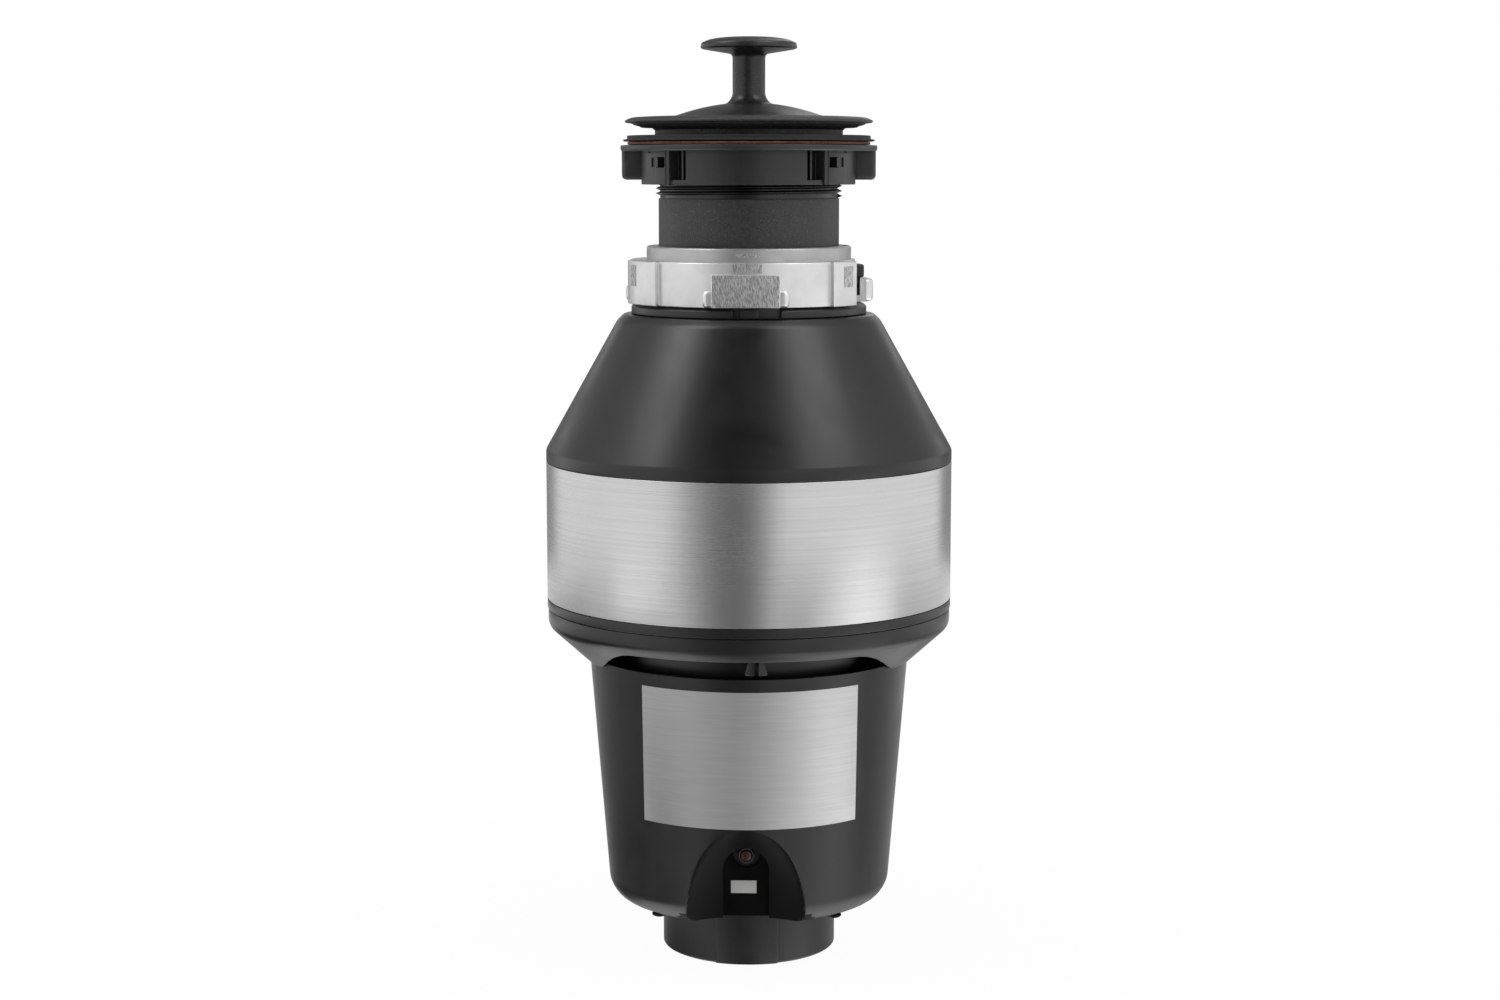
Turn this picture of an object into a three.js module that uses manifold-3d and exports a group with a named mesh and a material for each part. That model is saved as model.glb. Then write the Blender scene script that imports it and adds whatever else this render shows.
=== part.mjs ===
// A kitchen food waste disposer, as it comes apart on a bench.
// Millimetres, +Z up, origin at the centre of the base; the front of the machine faces -Y.
// Angles round the vertical axis are in degrees from the front, turning towards +X.

import * as THREE from 'three';
import { mergeVertices } from 'three/addons/utils/BufferGeometryUtils.js';
import Module from 'manifold-3d';

const wasm = await Module();
wasm.setup();

// ---------------------------------------------------------------- driving dimensions

// Clearances and facets
const SEAT = 0.3;                 // between pieces that rest on each other
const RUN = 0.5;                  // round anything that turns or slides
const ROUND = 32;                 // facets round a large revolve
const SMALL_ROUND = 12;           // facets round a small one
const HIDDEN_ROUND = 24;          // facets round a large piece inside the casing
const MOTOR_ROUND = 16;           // facets round a small piece of the motor
const FILLET_STEPS = 1;           // facets along a fillet
const ARC_STEP = 9;               // degrees between points of a drawn arc

// Heights of the outer casing, from the base upwards
const BASE_HEIGHT = 25;           // wiring box under the motor housing
const HOUSING_HEIGHT = 116;       // tapered motor housing
const HOUSING_LAP = 1.5;            // how far the lower cover comes down over the housing
const TAPER_HEIGHT = 16;          // 45 degree taper of the lower cover
const LOWER_WALL_HEIGHT = 7.5;    // upright wall above the taper
const BAND_LIP = 4.6;             // strip of the upper cover below the steel band
const BAND_HEIGHT = 63.6;
const SHOULDER_HEIGHT = 5.8;      // rounded shoulder above the band
const CONE_HEIGHT = 59.3;
const CONE_CAP_HEIGHT = 3;        // small chamfer at the top of the cone

// Radii of the outer casing
const BASE_R = 40.7;
const BASE_FLOOR = 3;
const HOUSING_FOOT_R = 60.5;      // flat underside of the motor housing
const HOUSING_LOW_R = 65.9;
const HOUSING_TOP_R = 74.8;
const BODY_R = 94.4;
const CONE_TOP_R = 61;
const COVER_TOP_R = 57.8;
const WALL = 2.6;                 // plastic wall of the casing
const BAND_THICKNESS = 0.7;
const VENT_TOP_HALF_WIDTH = 57.7; // cooling slots at the front and the back
const VENT_FOOT_HALF_WIDTH = 67.4;
const VENT_START = 8;             // slots forward and back of the centre line
const LOWER_SETBACK = 0.4;        // lower cover's wall inside the body's radius
const SHOULDER_INSET = 0.5;       // foot of the cone inside the body's radius

// Finger recess with the reset button, in the front of the motor housing
const SCOOP_AXIS = 66;            // upright axis of the scoop, forward of the centre line
const SCOOP_R = 30.5;             // half the scoop's width at the foot of the housing
const SCOOP_REACH = 18;           // half its depth there
const SCOOP_HEIGHT = 48;
const POCKET_HALF_WIDTH = 10.9;
const POCKET_DEPTH_Y = 45.5;      // distance of the pocket's back wall from the centre line
const POCKET_TOP = 34.2;          // top of the arch above the foot of the housing
const BUTTON_R = 2.5;
const BUTTON_RISE = 28.7;         // button axis above the foot of the housing
const BUTTON_LENGTH = 11.5;
const BUSHING_WALL = 0.9;

// Wiring box
const PANEL_HALF_ANGLE = 20;
const PANEL_THICKNESS = 1.4;
const GLAND_R = 6.5;
const GLAND_BORE_R = 3.5;
const GLAND_LENGTH = 13;

// Drain bowl and its outlet
const OUTLET_BORE_R = 18;
const OUTLET_WALL = 2.5;
const OUTLET_SETBACK = 0.4;       // outlet face inside the body's radius
const OUTLET_LIFT = 2;            // lowest point of the outlet above the band's lower edge
const CASING_GAP = 7.1;           // between the bowl's flange and the casing
const FLANGE_WIDTH = 6;
const BOWL_WALL = 3;
const BOWL_FLOOR = 4;
const FLANGE_THICKNESS = 4;
const HUB_R = 22;
const HUB_RISE = 14;              // hub above the bowl floor

// Grinding set
const RING_SETBACK = 7;           // shredder ring inside the bowl's outside
const RING_WALL = 3.7;
const RING_HEIGHT = 33;
const TOOTH_COUNT = 24;
const TOOTH_DEPTH = 1.8;
const RING_WINDOW_HEIGHT = 7;
const TURNTABLE_GAP = 2.5;        // between the turntable and the ring
const TURNTABLE_THICKNESS = 3;
const DRAIN_HOLE_COUNT = 8;
const DRAIN_HOLE_R = 2.6;
const LUG_SETBACK = 21.8;         // rivet of a swinging lug, in from the turntable's rim
const LUG_HALF_WIDTH = 7;
const LUG_REACH = 16;             // lug tip from its rivet
const LUG_PLATE = 4.5;
const LUG_HEIGHT = 13;
const RIVET_R = 4;
const RIVET_HEAD_R = 6.4;
const RIVET_HEAD = 2.2;
const NUT_R = 9;
const NUT_HEIGHT = 7;

// Hopper
const HOPPER_WALL = 3;
const HOPPER_NECK_R = 36;         // inside of the neck
const HOPPER_CONE_HEIGHT = 40;
const HOPPER_LEDGE = 1.3;         // foot of the hopper's cone inside the ring's bore
const NIPPLE_BORE_R = 8;
const NIPPLE_WALL = 2.3;
const NIPPLE_SETBACK = 2.4;       // nipple's end inside the body's radius
const NIPPLE_RISE = 29;           // nipple axis above the ring
const PLUG_THICKNESS = 3;
const PLUG_SETBACK = 6;

// Motor
const SHAFT_R = 6;
const SHAFT_END_R = 5;
const STUD_R = 4.4;
const CAN_R = 50;
const CAN_WALL = 2.5;
const MAGNET_THICKNESS = 8.5;
const MAGNET_HEIGHT = 46;
const MAGNET_HALF_ANGLE = 62;
const CORE_R = 37.4;
const CORE_HEIGHT = 38;
const CORE_SLOTS = 12;
const CORE_SLOT_DEPTH = 9;
const CORE_SLOT_HALF_ANGLE = 5;
const WINDING_R = 33;
const WINDING_HEIGHT = 9;
const COMMUTATOR_R = 15;
const COMMUTATOR_HEIGHT = 16;
const BRUSH_WIDTH = 8;
const BRUSH_LENGTH = 16;
const BRUSH_TRAVEL = 4;
const HOLDER_WALL = 1.5;
const SPRING_COIL_R = 3.4;
const MOTOR_HEIGHT = 100;         // from the end frame's underside to the drain bowl
const END_FRAME_THICKNESS = 5;
const BEARING_R = 14;
const BEARING_HEIGHT = 9;
const SEAL_R = 13;
const SEAL_HEIGHT = 8;
const SLINGER_R = 19;
const SLINGER_THICKNESS = 2;
const BOLT_R = 2;
const BOLT_HEAD_R = 3.4;
const BOLT_HEAD = 1.6;
const BOLT_GAP = 7;               // bolt axis outside the motor can
const TUBE_GAP = 4;               // inner tube of the lower cover round the bolts
const BOARD_WIDTH = 50;
const BOARD_DEPTH = 44;
const BOARD_SHIFT = 8;            // board set back from the reset button
const BOARD_RISE = 9;             // circuit board above the housing floor
const BOARD_THICKNESS = 1.6;
const BRIDGE = { x: 18, width: 18, y: 26, depth: 4, height: 11 };
const TERMINALS = { x: -6, width: 14, y: 30, depth: 8, height: 7 };
const CAPACITOR = { x: 12, y: 18, radius: 4.5, height: 9 };

// Sink sleeve and the parts on it
const SLEEVE_R = 41.6;
const SLEEVE_BORE_R = 38.8;
const THREAD_R = 42.5;
const PITCH = 2.3;                // one turn of the thread
const PLAIN_LENGTH = 39.1;        // plain sleeve under the thread
const THREAD_LENGTH = 29.1;
const NECK_R = 43.2;
const NECK_LENGTH = 3.6;
const FLANGE_R = 57;
const FLANGE_RISE = 2.7;          // rim above the top of the neck
const FLANGE_CROWN = 2.2;
const EAR_HALF_ANGLE = 13;
const EAR_REACH = 3.7;
const EAR_HEIGHT = 4;
const NUT_TURNS_SHOWN = 3;        // turns of thread left below the nut
const LOCK_NUT_R = 48.5;
const LOCK_NUT_WEB = 2.7;         // slots in the nut's wall
const WINDOW_RISE = 7.6;
const WINDOW_HEIGHT = 4.8;
const WINDOW_START = 50.5;
const WINDOW_END = 57;
const LOCK_NUT_HEIGHT = 15.1;
const LOCK_NUT_FLANGE_R = 59;
const LOCK_NUT_FLANGE = 2.7;
const WING_REACH = 58.3;
const WING_THICKNESS = 12;
const WING_HEIGHT = 13;
const LOBE_R = 50;
const FIBRE_R = 55.8;
const FIBRE_THICKNESS = 1.1;
const GASKET_R = 57.8;
const GASKET_THICKNESS = 2.7;
const GASKET_LIP = 1.2;           // thickness and reach of the gasket's lower lip
const GASKET_LIP_REACH = 1.8;

// Stopper
const STOPPER_R = 43;
const STOPPER_HEIGHT = 41.5;      // from the seat to the top of the knob
const STEM_R = 7.6;
const KNOB_R = 22.2;
const KNOB_THICKNESS = 5.6;
const KNOB_CROWN = 2.8;
const KNOB_ROOT = 2.3;            // cone between the knob's rim and the stem
const STOPPER_SEAL_R = 41.5;

// Quick-lock ring and the neck of the machine
const COLLAR_R = 54.4;
const COLLAR_FLANGE = 4.4;
const COLLAR_NECK_R = 47.3;
const COLLAR_NECK_HEIGHT = 8.2;
const COLLAR_WALL = 3;
const COLLAR_EAR_R = 50.6;
const COLLAR_EAR_HALF_ANGLE = 8;
const LOCK_RING_R = 54.7;
const LOCK_RING_WALL = 3;
const LOCK_RING_HEIGHT = 20;
const LOCK_RING_TOP_R = 47.2;
const LOCK_RING_TOP_HEIGHT = 6.2;
const LOCK_RING_LIP = 3;
const BULGE_R = 56.8;             // entry channels for the ears
const WALL_START = -46;           // plain wall of the lock ring, from a lug's middle
const BULGE_START = 43.5;
const BULGE_END = 74;
const ENTRY_END = 62;             // opening in the lip under a bulge
const LUG_PAD_HALF_WIDTH = 15.4;
const LUG_PAD_PLANE = 55.3;
const LUG_PAD_HEIGHT = 15;
const LUG_FOOT_HALF_WIDTH = 22.5;
const LUG_FOOT_HEIGHT = 9;
const UNLOCK_ANGLE = 30;
const CUSHION_WALL = 4.3;
const BAFFLE_HOLE_R = 10;
const BAFFLE_SLITS = 6;
const BAFFLE_THICKNESS = 1.8;
const BAFFLE_DROP = 8;            // hole below the baffle's rim
const BAFFLE_RIM = 4.5;

// ---------------------------------------------------------------- levels that follow

const housingBottom = BASE_HEIGHT;
const housingTop = housingBottom + HOUSING_HEIGHT;
const taperBottom = housingTop - HOUSING_LAP;
const taperTop = taperBottom + TAPER_HEIGHT;
const partingZ = taperTop + LOWER_WALL_HEIGHT;
const bandBottom = partingZ + BAND_LIP;
const bandTop = bandBottom + BAND_HEIGHT;
const coneBottom = bandTop + SHOULDER_HEIGHT;
const coneTop = coneBottom + CONE_HEIGHT;
const coverTop = coneTop + CONE_CAP_HEIGHT;

const outletZ = bandBottom + OUTLET_LIFT + OUTLET_BORE_R + OUTLET_WALL;
const outletR = OUTLET_BORE_R + OUTLET_WALL;
const bowlBottom = partingZ - 1;
const bowlFloorTop = bowlBottom + BOWL_FLOOR;
const bowlTop = outletZ + outletR + 1;
const bowlFlangeR = BODY_R - BAND_THICKNESS - WALL - CASING_GAP;
const bowlR = bowlFlangeR - FLANGE_WIDTH;
const outletReach = BODY_R - OUTLET_SETBACK;
const ringBottom = bowlTop + SEAT;
const ringTop = ringBottom + RING_HEIGHT;
const ringR = bowlR - RING_SETBACK;
const ringBoreR = ringR - RING_WALL;
const turntableR = ringBoreR - TURNTABLE_GAP;
const lugOrbitR = turntableR - LUG_SETBACK;
const turntableZ = ringBottom + RUN + 3;
const turntableTop = turntableZ + TURNTABLE_THICKNESS;

const hopperSkirtR = ringR + SEAT + HOPPER_WALL;
const hopperConeBottom = ringTop + 5;
const hopperConeTop = hopperConeBottom + HOPPER_CONE_HEIGHT;
const hopperNeckR = HOPPER_NECK_R + HOPPER_WALL;
const hopperConeR = ringBoreR - HOPPER_LEDGE;
const hopperFlangeTop = coverTop - WALL - SEAT;
const hopperFlangeFoot = hopperFlangeTop - 2.5;
const nippleZ = ringTop + NIPPLE_RISE;
const nippleR = NIPPLE_BORE_R + NIPPLE_WALL;
const nippleReach = BODY_R - NIPPLE_SETBACK;

const collarBottom = coverTop + SEAT;
const collarTop = collarBottom + COLLAR_FLANGE;
const collarNeckTop = collarTop + COLLAR_NECK_HEIGHT;
const lockRingBottom = collarTop + SEAT;
const lockRingTop = lockRingBottom + LOCK_RING_HEIGHT;
const lockRingCavityTop = lockRingTop - LOCK_RING_LIP;
const neckTop = collarTop + 1;
const sleeveBottom = collarNeckTop + SEAT;
const earTop = lockRingCavityTop - RUN;
const threadBottom = sleeveBottom + PLAIN_LENGTH;
const threadTop = threadBottom + THREAD_LENGTH;
const flangeUnderside = threadTop + NECK_LENGTH;
const flangeRim = flangeUnderside + FLANGE_RISE;
const flangeTop = flangeRim + FLANGE_CROWN;
const lockNutBottom = threadBottom + NUT_TURNS_SHOWN * PITCH;
const lockNutFlangeZ = lockNutBottom + LOCK_NUT_HEIGHT;
const lockNutTop = lockNutFlangeZ + LOCK_NUT_FLANGE;
const lockNutBore = THREAD_R + RUN;
const fibreBottom = lockNutTop + SEAT;
const gasketBottom = fibreBottom + FIBRE_THICKNESS + SEAT;
const gasketTop = gasketBottom + GASKET_THICKNESS;
const stopperSeat = flangeRim - 3;

const motorBottom = bowlBottom - MOTOR_HEIGHT;
const endFrameTop = motorBottom + END_FRAME_THICKNESS;
const canBottom = endFrameTop + SEAT;
const canTop = bowlBottom - SEAT;
const canBore = CAN_R - CAN_WALL;
const magnetR = canBore - SEAT;
const commutatorZ = endFrameTop + 4;
const lowerWindingZ = commutatorZ + COMMUTATOR_HEIGHT + 3;
const coreZ = lowerWindingZ + WINDING_HEIGHT + SEAT;
const upperWindingZ = coreZ + CORE_HEIGHT + SEAT;
const brushZ = commutatorZ + COMMUTATOR_HEIGHT / 2;
const lowerBearingZ = motorBottom - BEARING_HEIGHT + 1;
const upperBearingZ = bowlBottom - BEARING_HEIGHT + 3;
const sealZ = bowlFloorTop + HUB_RISE - SEAL_HEIGHT;
const slingerZ = bowlFloorTop + HUB_RISE + 2;
const housingFloor = housingBottom + WALL;
const boltOrbitR = CAN_R + BOLT_GAP;
const tubeR = boltOrbitR + BOLT_R + TUBE_GAP;
const buttonZ = housingBottom + BUTTON_RISE;

// ---------------------------------------------------------------- building tools

const radians = THREE.MathUtils.degToRad;

/** The point at a radius and an angle from the front, in the ground plane. */
const polar = (r, angle) => new THREE.Vector2(r * Math.sin(radians(angle)), -r * Math.cos(radians(angle)));

/** Rounds the corners [x, y, fillet] of an outline, each by its own fillet. */
function outline(corners, steps = FILLET_STEPS) {
  const at = (i) => new THREE.Vector2(...corners.at(i % corners.length).slice(0, 2));
  return corners.flatMap(([, , fillet = 0], i) => {
    const corner = at(i);
    if (!fillet) return [corner];
    const along = (next) => {
      const edge = next.clone().sub(corner);
      return corner.clone().add(edge.setLength(Math.min(fillet, edge.length() / 2)));
    };
    return new THREE.QuadraticBezierCurve(along(at(i - 1)), corner, along(at(i + 1))).getPoints(steps);
  });
}

/** Merges shared vertices and drops the triangles that collapse on an axis. */
function weld(geometry) {
  const bare = geometry.clone();
  for (const name of Object.keys(bare.attributes)) if (name !== 'position') bare.deleteAttribute(name);
  const merged = mergeVertices(bare, 1e-4);
  const { array } = merged.index;
  const kept = [];
  for (let i = 0; i < array.length; i += 3) {
    const [a, b, c] = array.slice(i, i + 3);
    if (a !== b && b !== c && c !== a) kept.push(a, b, c);
  }
  merged.setIndex(kept);
  return merged;
}

/** A closed body of revolution about +Z from the corners [radius, height, fillet]. */
function revolve(corners, segments = ROUND) {
  const points = outline(corners);
  if (THREE.ShapeUtils.area(points) < 0) points.reverse();
  const first = points.findIndex((point) => point.x < 1e-6);
  if (first < 0) points.push(points[0].clone());
  else while (points[0].x > 1e-6 || points.at(-1).x > 1e-6) points.push(points.shift());
  return weld(new THREE.LatheGeometry(points, segments).rotateX(Math.PI / 2));
}

/** A plain tube or disc between two radii and two heights. */
const tube = (inner, outer, bottom, top, segments = ROUND) =>
  revolve([[inner, bottom], [outer, bottom], [outer, top], [inner, top]], segments);

/** An outline in the ground plane, raised from one height to another. */
function prism(points, bottom, top) {
  const shape = new THREE.Shape(points);
  const geometry = new THREE.ExtrudeGeometry(shape, { depth: top - bottom, bevelEnabled: false, steps: 1 });
  return weld(geometry.translate(0, 0, bottom));
}

/** A box from its lowest and highest corners. */
function block([x0, y0, z0], [x1, y1, z1]) {
  const box = new THREE.BoxGeometry(x1 - x0, y1 - y0, z1 - z0);
  return weld(box.translate((x0 + x1) / 2, (y0 + y1) / 2, (z0 + z1) / 2));
}

/** Lays an upright body along +Y, with its foot at the given distance behind the centre line. */
const alongY = (geometry, y = 0, z = 0) => geometry.clone().rotateX(-Math.PI / 2).translate(0, y, z);

/** Turns a body about the vertical axis, from the front towards +X. */
const turned = (geometry, angle) => geometry.clone().rotateZ(radians(angle));

/** Points along an arc from one angle to another, about every ARC_STEP degrees. */
function arc(r, from, to) {
  const steps = Math.max(1, Math.round(Math.abs(to - from) / ARC_STEP));
  return Array.from({ length: steps + 1 }, (_, i) => polar(r, from + ((to - from) * i) / steps));
}

/** A flat sector of a ring. */
const sector = (inner, outer, from, to, bottom, top) =>
  prism([...arc(outer, from, to), ...arc(inner, to, from)], bottom, top);

function toSolid(geometry) {
  const { position } = geometry.attributes;
  const mesh = new wasm.Mesh({
    numProp: 3,
    vertProperties: new Float32Array(position.array),
    triVerts: new Uint32Array(geometry.index.array),
  });
  return new wasm.Manifold(mesh);
}

function toGeometry(solid) {
  const mesh = solid.getMesh();
  const geometry = new THREE.BufferGeometry();
  geometry.setAttribute('position', new THREE.BufferAttribute(new Float32Array(mesh.vertProperties), 3));
  geometry.setIndex(new THREE.BufferAttribute(new Uint32Array(mesh.triVerts), 1));
  return geometry;
}

/** The first body with every other one joined to it. */
const join = (first, ...others) =>
  toGeometry(others.reduce((sum, other) => sum.add(toSolid(other)), toSolid(first)));

/** The first body with every other one cut out of it. */
const cut = (first, ...others) =>
  toGeometry(others.reduce((rest, other) => rest.subtract(toSolid(other)), toSolid(first)));

/** The same body at evenly spaced angles round the vertical axis. */
const around = (geometry, count, start = 0) =>
  Array.from({ length: count }, (_, i) => turned(geometry, start + (360 * i) / count));

// ---------------------------------------------------------------- materials

const finish = (color, roughness, metalness = 0) =>
  new THREE.MeshStandardMaterial({ color, roughness, metalness });
const blackPlastic = finish(0x202122, 0.42);
const grainedPlastic = finish(0x2c2d2e, 0.62);
const blackRubber = finish(0x1a1a1b, 0.8);
const brushedSteel = finish(0xc4c5c6, 0.3, 1);
const plainSteel = finish(0xb4b6b8, 0.38, 1);
const castAluminium = finish(0xd2d3d4, 0.45, 1);
const fibreBoard = finish(0x7a5347, 0.85);
const whiteFoam = finish(0xd8d8d4, 0.95);
const copper = finish(0xb4693c, 0.45, 1);
const ferrite = finish(0x3a3b3d, 0.7);
const carbon = finish(0x2a2a2b, 0.7);
const circuitBoard = finish(0x2f6b45, 0.6);
const redPlastic = finish(0x5a1512, 0.4);

const disposer = new THREE.Group();

/** Puts a piece in the model under its own name, in an optional group. */
function piece(name, geometry, material, parent = disposer) {
  geometry.computeVertexNormals();
  const mesh = new THREE.Mesh(geometry, material);
  mesh.name = name;
  parent.add(mesh);
  return mesh;
}

// ---------------------------------------------------------------- outer casing

const coneSlope = (BODY_R - SHOULDER_INSET - CONE_TOP_R) / CONE_HEIGHT;
const outletHole = alongY(tube(0, outletR + SEAT, 0, BODY_R, 20), BODY_R / 2, outletZ);
const nippleHole = alongY(tube(0, nippleR + SEAT, 0, BODY_R, SMALL_ROUND), 30, nippleZ);
const bandSeatR = BODY_R - BAND_THICKNESS - SEAT;

/** The cone-shaped upper cover, with a shallow seat round its skirt for the steel band. */
function upperCover() {
  const body = revolve([
    [hopperNeckR + SEAT, coverTop - WALL], [COVER_TOP_R - 2, coverTop - WALL],
    [CONE_TOP_R - WALL, coneTop - WALL], [BODY_R - WALL - SHOULDER_INSET, coneBottom],
    [BODY_R - WALL - BAND_THICKNESS, bandTop, 2], [BODY_R - WALL - BAND_THICKNESS, partingZ],
    [BODY_R, partingZ], [BODY_R, bandBottom - SEAT], [bandSeatR, bandBottom - SEAT],
    [bandSeatR, bandTop + SEAT], [BODY_R, bandTop + SEAT], [BODY_R, coneBottom - 1.5, 2.5],
    [CONE_TOP_R, coneTop, 1.5], [COVER_TOP_R, coverTop, 1], [hopperNeckR + SEAT, coverTop],
  ]);
  return cut(body, outletHole, nippleHole);
}

/** The lower cover: upright wall, taper at both sides, cooling slots at the front and back. */
function lowerCover() {
  const skirtR = HOUSING_TOP_R + RUN;
  const wallR = BODY_R - LOWER_SETBACK;
  const webTop = taperTop + WALL - 1;
  const body = revolve([
    [tubeR, housingTop - 2], [tubeR + WALL, housingTop - 2], [tubeR + WALL, taperTop - 1, 2],
    [skirtR, taperTop - 1], [skirtR, taperBottom], [skirtR + 1, taperBottom], [wallR, taperTop, 1.5],
    [wallR, partingZ - SEAT], [wallR - WALL, partingZ - SEAT], [wallR - WALL, webTop], [tubeR, webTop],
  ]);
  const slotTop = taperTop - 3;
  const slotFoot = taperBottom - 1;
  const slotShape = new THREE.Shape(outline([
    [-VENT_FOOT_HALF_WIDTH, slotFoot], [VENT_FOOT_HALF_WIDTH, slotFoot],
    [VENT_TOP_HALF_WIDTH, slotTop], [-VENT_TOP_HALF_WIDTH, slotTop],
  ]));
  const slotBlock = new THREE.ExtrudeGeometry(slotShape, { depth: BODY_R, bevelEnabled: false, steps: 1 });
  slotBlock.rotateX(Math.PI / 2).translate(0, -VENT_START, 0);
  const slot = cut(weld(slotBlock), tube(0, tubeR + WALL, slotFoot - 1, slotTop + 1));
  const rib = sector(tubeR + WALL - 0.5, HOUSING_TOP_R + 4, 1, 6, housingTop + 1, taperTop - 1);
  const slots = around(slot, 2);
  return join(cut(body, ...slots), ...around(rib, 2));
}

/** The bucket outline: outside when the wall is 0, inside when it is the wall's thickness. */
function housingBody(wall) {
  const top = housingTop + (wall ? 1 : 0);
  return revolve([
    [0, housingBottom + wall], [HOUSING_FOOT_R - wall, housingBottom + wall, 2],
    [HOUSING_LOW_R - wall, housingBottom + 6, 3], [HOUSING_TOP_R - wall, top], [0, top],
  ]);
}

/** The scoop in front of the reset button, grown by a wall for the skin behind it. */
function scoop(wall) {
  const bottom = housingBottom - 5;
  const side = new THREE.QuadraticBezierCurve(
    new THREE.Vector2(SCOOP_R + wall, housingBottom),
    new THREE.Vector2(SCOOP_R * 1.1 + wall, housingBottom + SCOOP_HEIGHT * 0.82),
    new THREE.Vector2(0, housingBottom + SCOOP_HEIGHT + wall),
  ).getPoints(5).map(({ x, y }) => [x, y]);
  const body = revolve([[0, bottom], [SCOOP_R + wall, bottom], ...side], 24);
  return body.scale(1, (SCOOP_REACH + wall) / (SCOOP_R + wall), 1).translate(0, -SCOOP_AXIS, 0);
}

/** The arched pocket at the back of the scoop, grown by a wall. */
function pocket(wall) {
  const r = POCKET_HALF_WIDTH + wall;
  const springing = housingBottom + POCKET_TOP - POCKET_HALF_WIDTH;
  const foot = housingBottom - 1 - wall;
  const head = Array.from({ length: 9 }, (_, i) => radians(22.5 * i))
    .map((a) => new THREE.Vector2(r * Math.cos(a), springing + r * Math.sin(a)));
  const shape = new THREE.Shape([new THREE.Vector2(-r, foot), new THREE.Vector2(r, foot), ...head]);
  const depth = SCOOP_AXIS - POCKET_DEPTH_Y + wall;
  const body = new THREE.ExtrudeGeometry(shape, { depth, bevelEnabled: false, steps: 1 });
  return weld(body.rotateX(Math.PI / 2).translate(0, -POCKET_DEPTH_Y + wall, 0));
}

const bushingR = BUTTON_R + SEAT + BUSHING_WALL;

/** The motor housing with the finger recess, bolt holes and wiring hole. */
function motorHousing() {
  const inside = cut(housingBody(WALL), scoop(WALL), pocket(WALL));
  const shell = cut(housingBody(0), scoop(0), pocket(0), inside);
  const buttonHole = alongY(tube(0, bushingR + SEAT, 0, 12, SMALL_ROUND), -POCKET_DEPTH_Y - 5, buttonZ);
  const boltHole = tube(0, BOLT_R + SEAT, housingBottom - 1, housingFloor + 1, 8)
    .translate(0, -boltOrbitR, 0);
  const wiringHole = tube(0, 12, housingBottom - 1, housingFloor + 1, SMALL_ROUND);
  return cut(shell, buttonHole, wiringHole, ...around(boltHole, 4, 45));
}

piece('upper_cover', upperCover(), blackPlastic);
const bandBody = tube(bandSeatR + SEAT, BODY_R, bandBottom, bandTop);
piece('steel_band', cut(bandBody, outletHole), brushedSteel);
piece('lower_cover', lowerCover(), blackPlastic);
piece('motor_housing', motorHousing(), blackPlastic);

/** The wiring box that the machine stands on, closed by the panel at the front. */
function wiringBox() {
  const top = housingBottom - SEAT;
  const inner = BASE_R - WALL;
  const body = revolve([
    [0, 0], [BASE_R, 0, 1.2], [BASE_R, top], [inner, top], [inner, BASE_FLOOR], [0, BASE_FLOOR],
  ]);
  const openingAngle = PANEL_HALF_ANGLE - 5;
  const opening = sector(inner - 2, BASE_R + 2, -openingAngle, openingAngle, BASE_FLOOR + 2, top - 4);
  return cut(body, opening, alongY(tube(0, GLAND_R + SEAT, 0, 20, SMALL_ROUND), BASE_R - 8, BASE_HEIGHT / 2));
}
piece('wiring_box', wiringBox(), blackPlastic);

const panelR = BASE_R + SEAT;
const panelTop = housingBottom - SEAT;
const panel = sector(panelR, panelR + PANEL_THICKNESS, -PANEL_HALF_ANGLE, PANEL_HALF_ANGLE, 0.5, panelTop);
piece('wiring_panel', panel, blackPlastic);

const gland = revolve([
  [GLAND_BORE_R, 0], [GLAND_R, 0], [GLAND_R, 6.5], [GLAND_R + 2.5, 6.5], [GLAND_R + 2.5, 9], [GLAND_R, 9.5],
  [GLAND_R - 1, GLAND_LENGTH], [GLAND_BORE_R, GLAND_LENGTH],
], SMALL_ROUND);
piece('cable_gland', alongY(gland, BASE_R - 6, BASE_HEIGHT / 2), blackRubber);

// ---------------------------------------------------------------- reset button

const protectorFront = -POCKET_DEPTH_Y + WALL + SEAT;
const bushing = alongY(tube(BUTTON_R + SEAT, bushingR, -WALL - 2, 2, SMALL_ROUND), protectorFront, buttonZ);
const protectorBox = block([-9, protectorFront, buttonZ - 9], [9, protectorFront + 16, buttonZ + 7]);
const protectorBore = alongY(tube(0, BUTTON_R + SEAT, -1, 13, SMALL_ROUND), protectorFront, buttonZ);
piece('overload_protector', cut(join(protectorBox, bushing), protectorBore), carbon);
const buttonBody = revolve([
  [0, 0], [BUTTON_R, 0, 0.6], [BUTTON_R, BUTTON_LENGTH], [0, BUTTON_LENGTH],
], SMALL_ROUND);
piece('reset_button', alongY(buttonBody, protectorFront - WALL - 2.6, buttonZ), redPlastic);

// ---------------------------------------------------------------- drain bowl and hopper

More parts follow.
